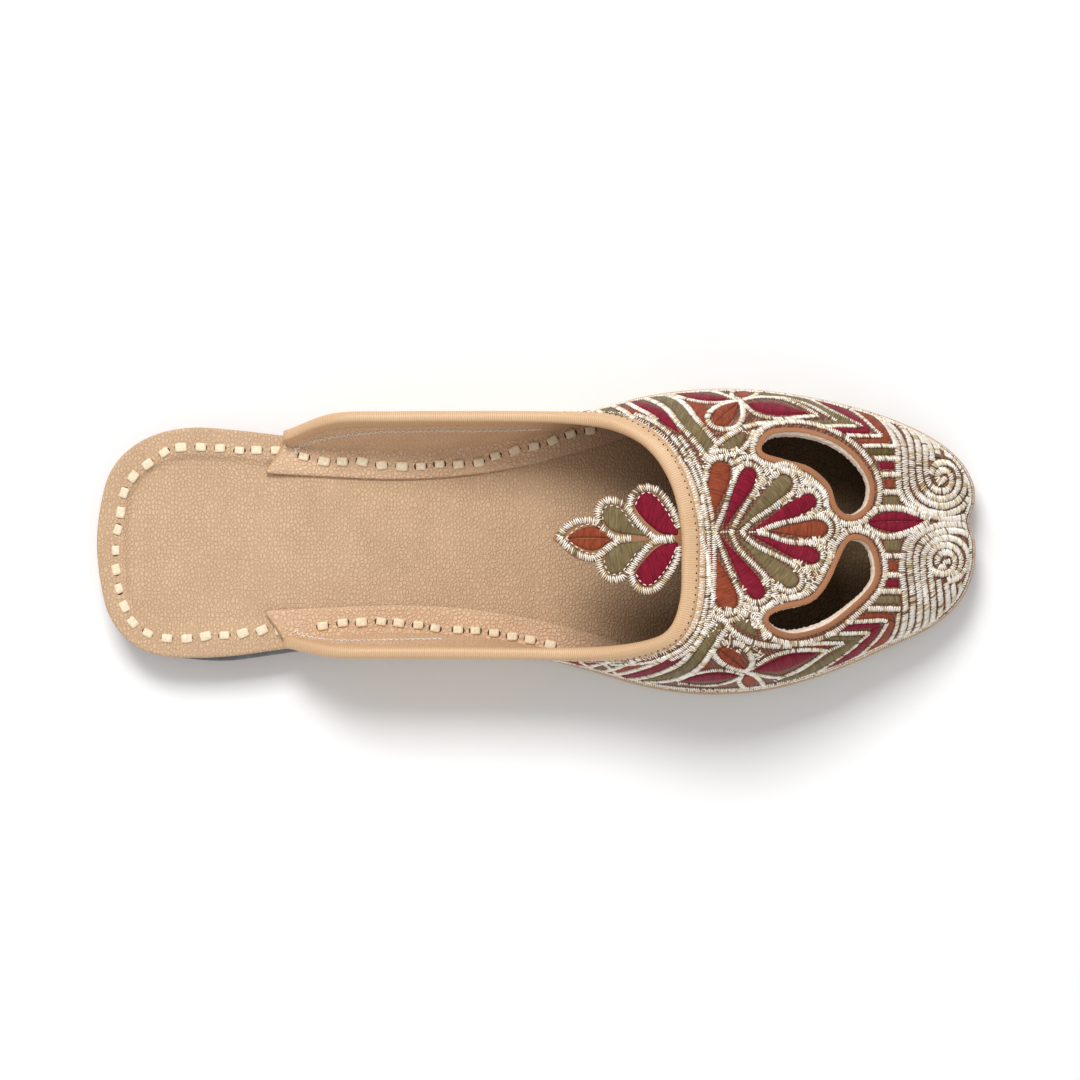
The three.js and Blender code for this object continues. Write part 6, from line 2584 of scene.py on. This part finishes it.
@dataclass
class Thongs:
    """Cream thong stitches round the heel seat and along the turned-in margins."""

    pitch: float = 5.45
    size: Triple = (2.7, 2.1, 1.0)
    hole: Triple = (0.9, 1.7, 0.24)
    seat_height: float = 14.0
    heel: Line = (
        51.9, 26.7, 40.0, 26.9, 28.6, 27.9, 20.0, 26.0, 13.2, 21.8, 8.5, 16.0, 7.0, 10.0, 6.5, 5.0,
        5.3, -3.0, 5.5, -9.0, 7.0, -16.0, 10.1, -22.2, 14.6, -26.2, 20.5, -27.9, 30.0, -27.5,
        40.0, -26.5, 52.0, -25.5, 59.0, -24.8,
    )
    inner: Line = (
        59.9, 24.6, 65.4, 23.6, 71.0, 23.5, 81.9, 22.8, 93.6, 22.5, 104.8, 22.9, 110.4, 23.6,
        115.8, 24.9, 121.4, 26.7, 127.2, 28.2, 132.3, 29.7, 137.6, 31.4, 142.9, 32.5,
    )
    outer: Line = (
        65.8, -24.3, 72.3, -23.1, 78.8, -22.9, 85.7, -23.3, 92.8, -23.8, 99.1, -24.4, 105.3, -25.3,
        111.9, -26.0, 118.1, -27.1, 124.6, -28.1, 131.3, -29.8,
    )

    def spots(self, corners: Line) -> tuple[Array, Array]:
        """Evenly spaced chart points along a line, and its direction there.

        Args:
            corners: Chart points that the line passes through.

        Returns:
            The points and the directions.
        """
        fine = drawn(corners, 0.25)
        run = unit(np.gradient(fine, axis=0))
        count = int(round(run_lengths(fine)[-1] / self.pitch)) + 1
        take = np.round(np.linspace(0, len(fine) - 1, count)).astype(int)
        return fine[take], run[take]

    def heel_spots(self) -> Array:
        """Where the heel stitches press the footbed, in shoe coordinates."""
        return CHART.at_height(self.spots(self.heel)[0], self.seat_height)

    def build(
        self, footbed: Surface, inside: Surface, tree: bpy.types.NodeTree, hole_tree: bpy.types.NodeTree
    ) -> None:
        """Lay every stitch with a hole at each of its ends.

        Args:
            footbed: What the heel stitches lie on.
            inside: What the stitches of the margins lie on.
            tree: Node tree of the stitches.
            hole_tree: Node tree of the holes.
        """
        stitches, holes = Lay(), Lay()
        rng = np.random.default_rng(9)
        for corners, surface in ((self.heel, footbed), (self.inner, inside), (self.outer, inside)):
            chart, run = self.spots(corners)
            points, ups = surface.seen(chart + rng.normal(0, 0.2, chart.shape))
            ups = ups * np.where(ups[:, 2:] < 0, -1.0, 1.0)
            along = np.column_stack([run + rng.normal(0, 0.08, run.shape), np.zeros(len(run))])
            along = square_to(along, ups)
            stitches.add(points + ups * 0.12, ups, along, self.size)
            for end in (-1, 1):
                spots = points + along * end * self.size[0] * 0.56
                holes.add(spots + ups * 0.1, ups, along, self.hole)
        cream = PlainFinish("thong", (250, 236, 208), (226, 204, 168), 0.8, 0.12, 0.5).build()
        dark = PlainFinish("hole_shadow", (92, 62, 40), (58, 38, 24), 0.5, 0.0, 0.9).build()
        Stitching("thong_stitches", "thong", tree, cream, 5, 0.17).build(stitches)
        Stitching("thong_holes", "footbed_leather", hole_tree, dark, 6, 0.1).build(holes)


# Studio


@dataclass
class Studio:
    """Pale floor, soft light and the camera, in metres."""

    eye: Triple = (0.0008, -0.043, 0.900)
    aim: Triple = (0.0008, 0.0, 0.013)
    lens: float = 102.0
    sensor: float = 36.0
    lit_height: float = 0.02
    floor_reach: float = 6.0
    floor_drop: float = 0.0002
    world: float = 0.5
    # Name, place, size and power of each lamp.
    lamps: tuple[tuple[str, Triple, float, float], ...] = (
        ("key", (-0.2, 0.6, 1.0), 0.42, 10.0), ("fill", (0.3, -0.9, 0.9), 0.9, 2.6),
    )
    floor_finish: PlainFinish = PlainFinish("studio_floor", (250, 250, 250), (247, 247, 247), 400.0, 0.0, 0.9)

    def floor(self) -> None:
        """A wide floor just under the shoe."""
        mesh = bpy.data.meshes.new("studio_floor")
        far = self.floor_reach
        corners = [(-far, -far, 0), (far, -far, 0), (far, far, 0), (-far, far, 0)]
        mesh.from_pydata(corners, [], [(0, 1, 2, 3)])
        mesh.materials.append(self.floor_finish.build())
        floor = new_object("studio_floor", mesh)
        floor.location.z = -self.floor_drop

    def lights(self) -> None:
        """Square soft lamps aimed at the shoe, and an even white surrounding."""
        for name, place, size, power in self.lamps:
            light = bpy.data.lights.new(name, "AREA")
            light.shape, light.size, light.energy = "SQUARE", size, power
            made = new_object(name, light)
            made.location = place
            toward = Vector((0, 0, self.lit_height)) - Vector(place)
            made.rotation_euler = toward.to_track_quat("-Z", "Y").to_euler()
        world = bpy.data.worlds.new("studio")
        world.use_nodes = True
        background = world.node_tree.nodes["Background"]
        background.inputs[0].default_value = (1.0, 1.0, 1.0, 1.0)
        background.inputs[1].default_value = self.world
        bpy.context.scene.world = world
        bpy.context.scene.view_settings.view_transform = "Standard"

    def camera(self) -> None:
        """The camera, nearly straight above."""
        camera = bpy.data.cameras.new("camera")
        camera.lens, camera.sensor_width = self.lens, self.sensor
        camera.clip_start, camera.clip_end = 0.01, 50.0
        made = new_object("camera", camera)
        made.location = self.eye
        made.rotation_mode = "QUATERNION"
        made.rotation_quaternion = (Vector(self.aim) - Vector(self.eye)).to_track_quat("-Z", "Y")
        bpy.context.scene.camera = made

    def build(self) -> None:
        """Make the floor, the lights and the camera."""
        self.floor()
        self.lights()
        self.camera()


def main() -> None:
    """Build the slipper piece by piece."""
    logging.basicConfig(level=logging.INFO, format="%(name)s %(message)s")
    Studio().build()
    thongs = Thongs()
    footbed = Sole().build(thongs.heel_spots())
    wall, inside = Upper().build()
    Binding().build()
    rib_tree = StitchTree(Layout.ALONG_PATH, Grain.STRAND).build()
    spot_tree = StitchTree(Layout.AT_POINTS, Grain.STRAND).build()
    thong_tree = StitchTree(Layout.AT_POINTS, Grain.THONG).build()
    metal = MetalThreadFinish("metal_thread").build()
    # The core's colour is partly its own and partly painted shade: it is darkened so that the gaps between
    # the cord's stitches read as shadowed crevices.
    core = PlainFinish("cord_core", (138, 110, 86), (86, 62, 46), 0.5, 0.1, 0.6).build()
    thread = Thread(rib_tree, spot_tree, metal, core)
    thongs.build(footbed, inside, thong_tree, spot_tree)
    fence = Fence.around()
    work = Embroidery("vamp", wall, fence)
    Hem(fence).stitch(work)
    throat = Throat()
    throat.flange()
    throat.fringe(work)
    Vamp(work).stitch()
    work.build(thread)
    leaf = Leaf()
    leaf_work = leaf.build()
    leaf_work.build(thread)
    leaf.running(spot_tree, leaf_work)
    LiningSeam(inside).build(spot_tree)
    throat.holes(spot_tree)


if __name__ == "__main__":
    main()
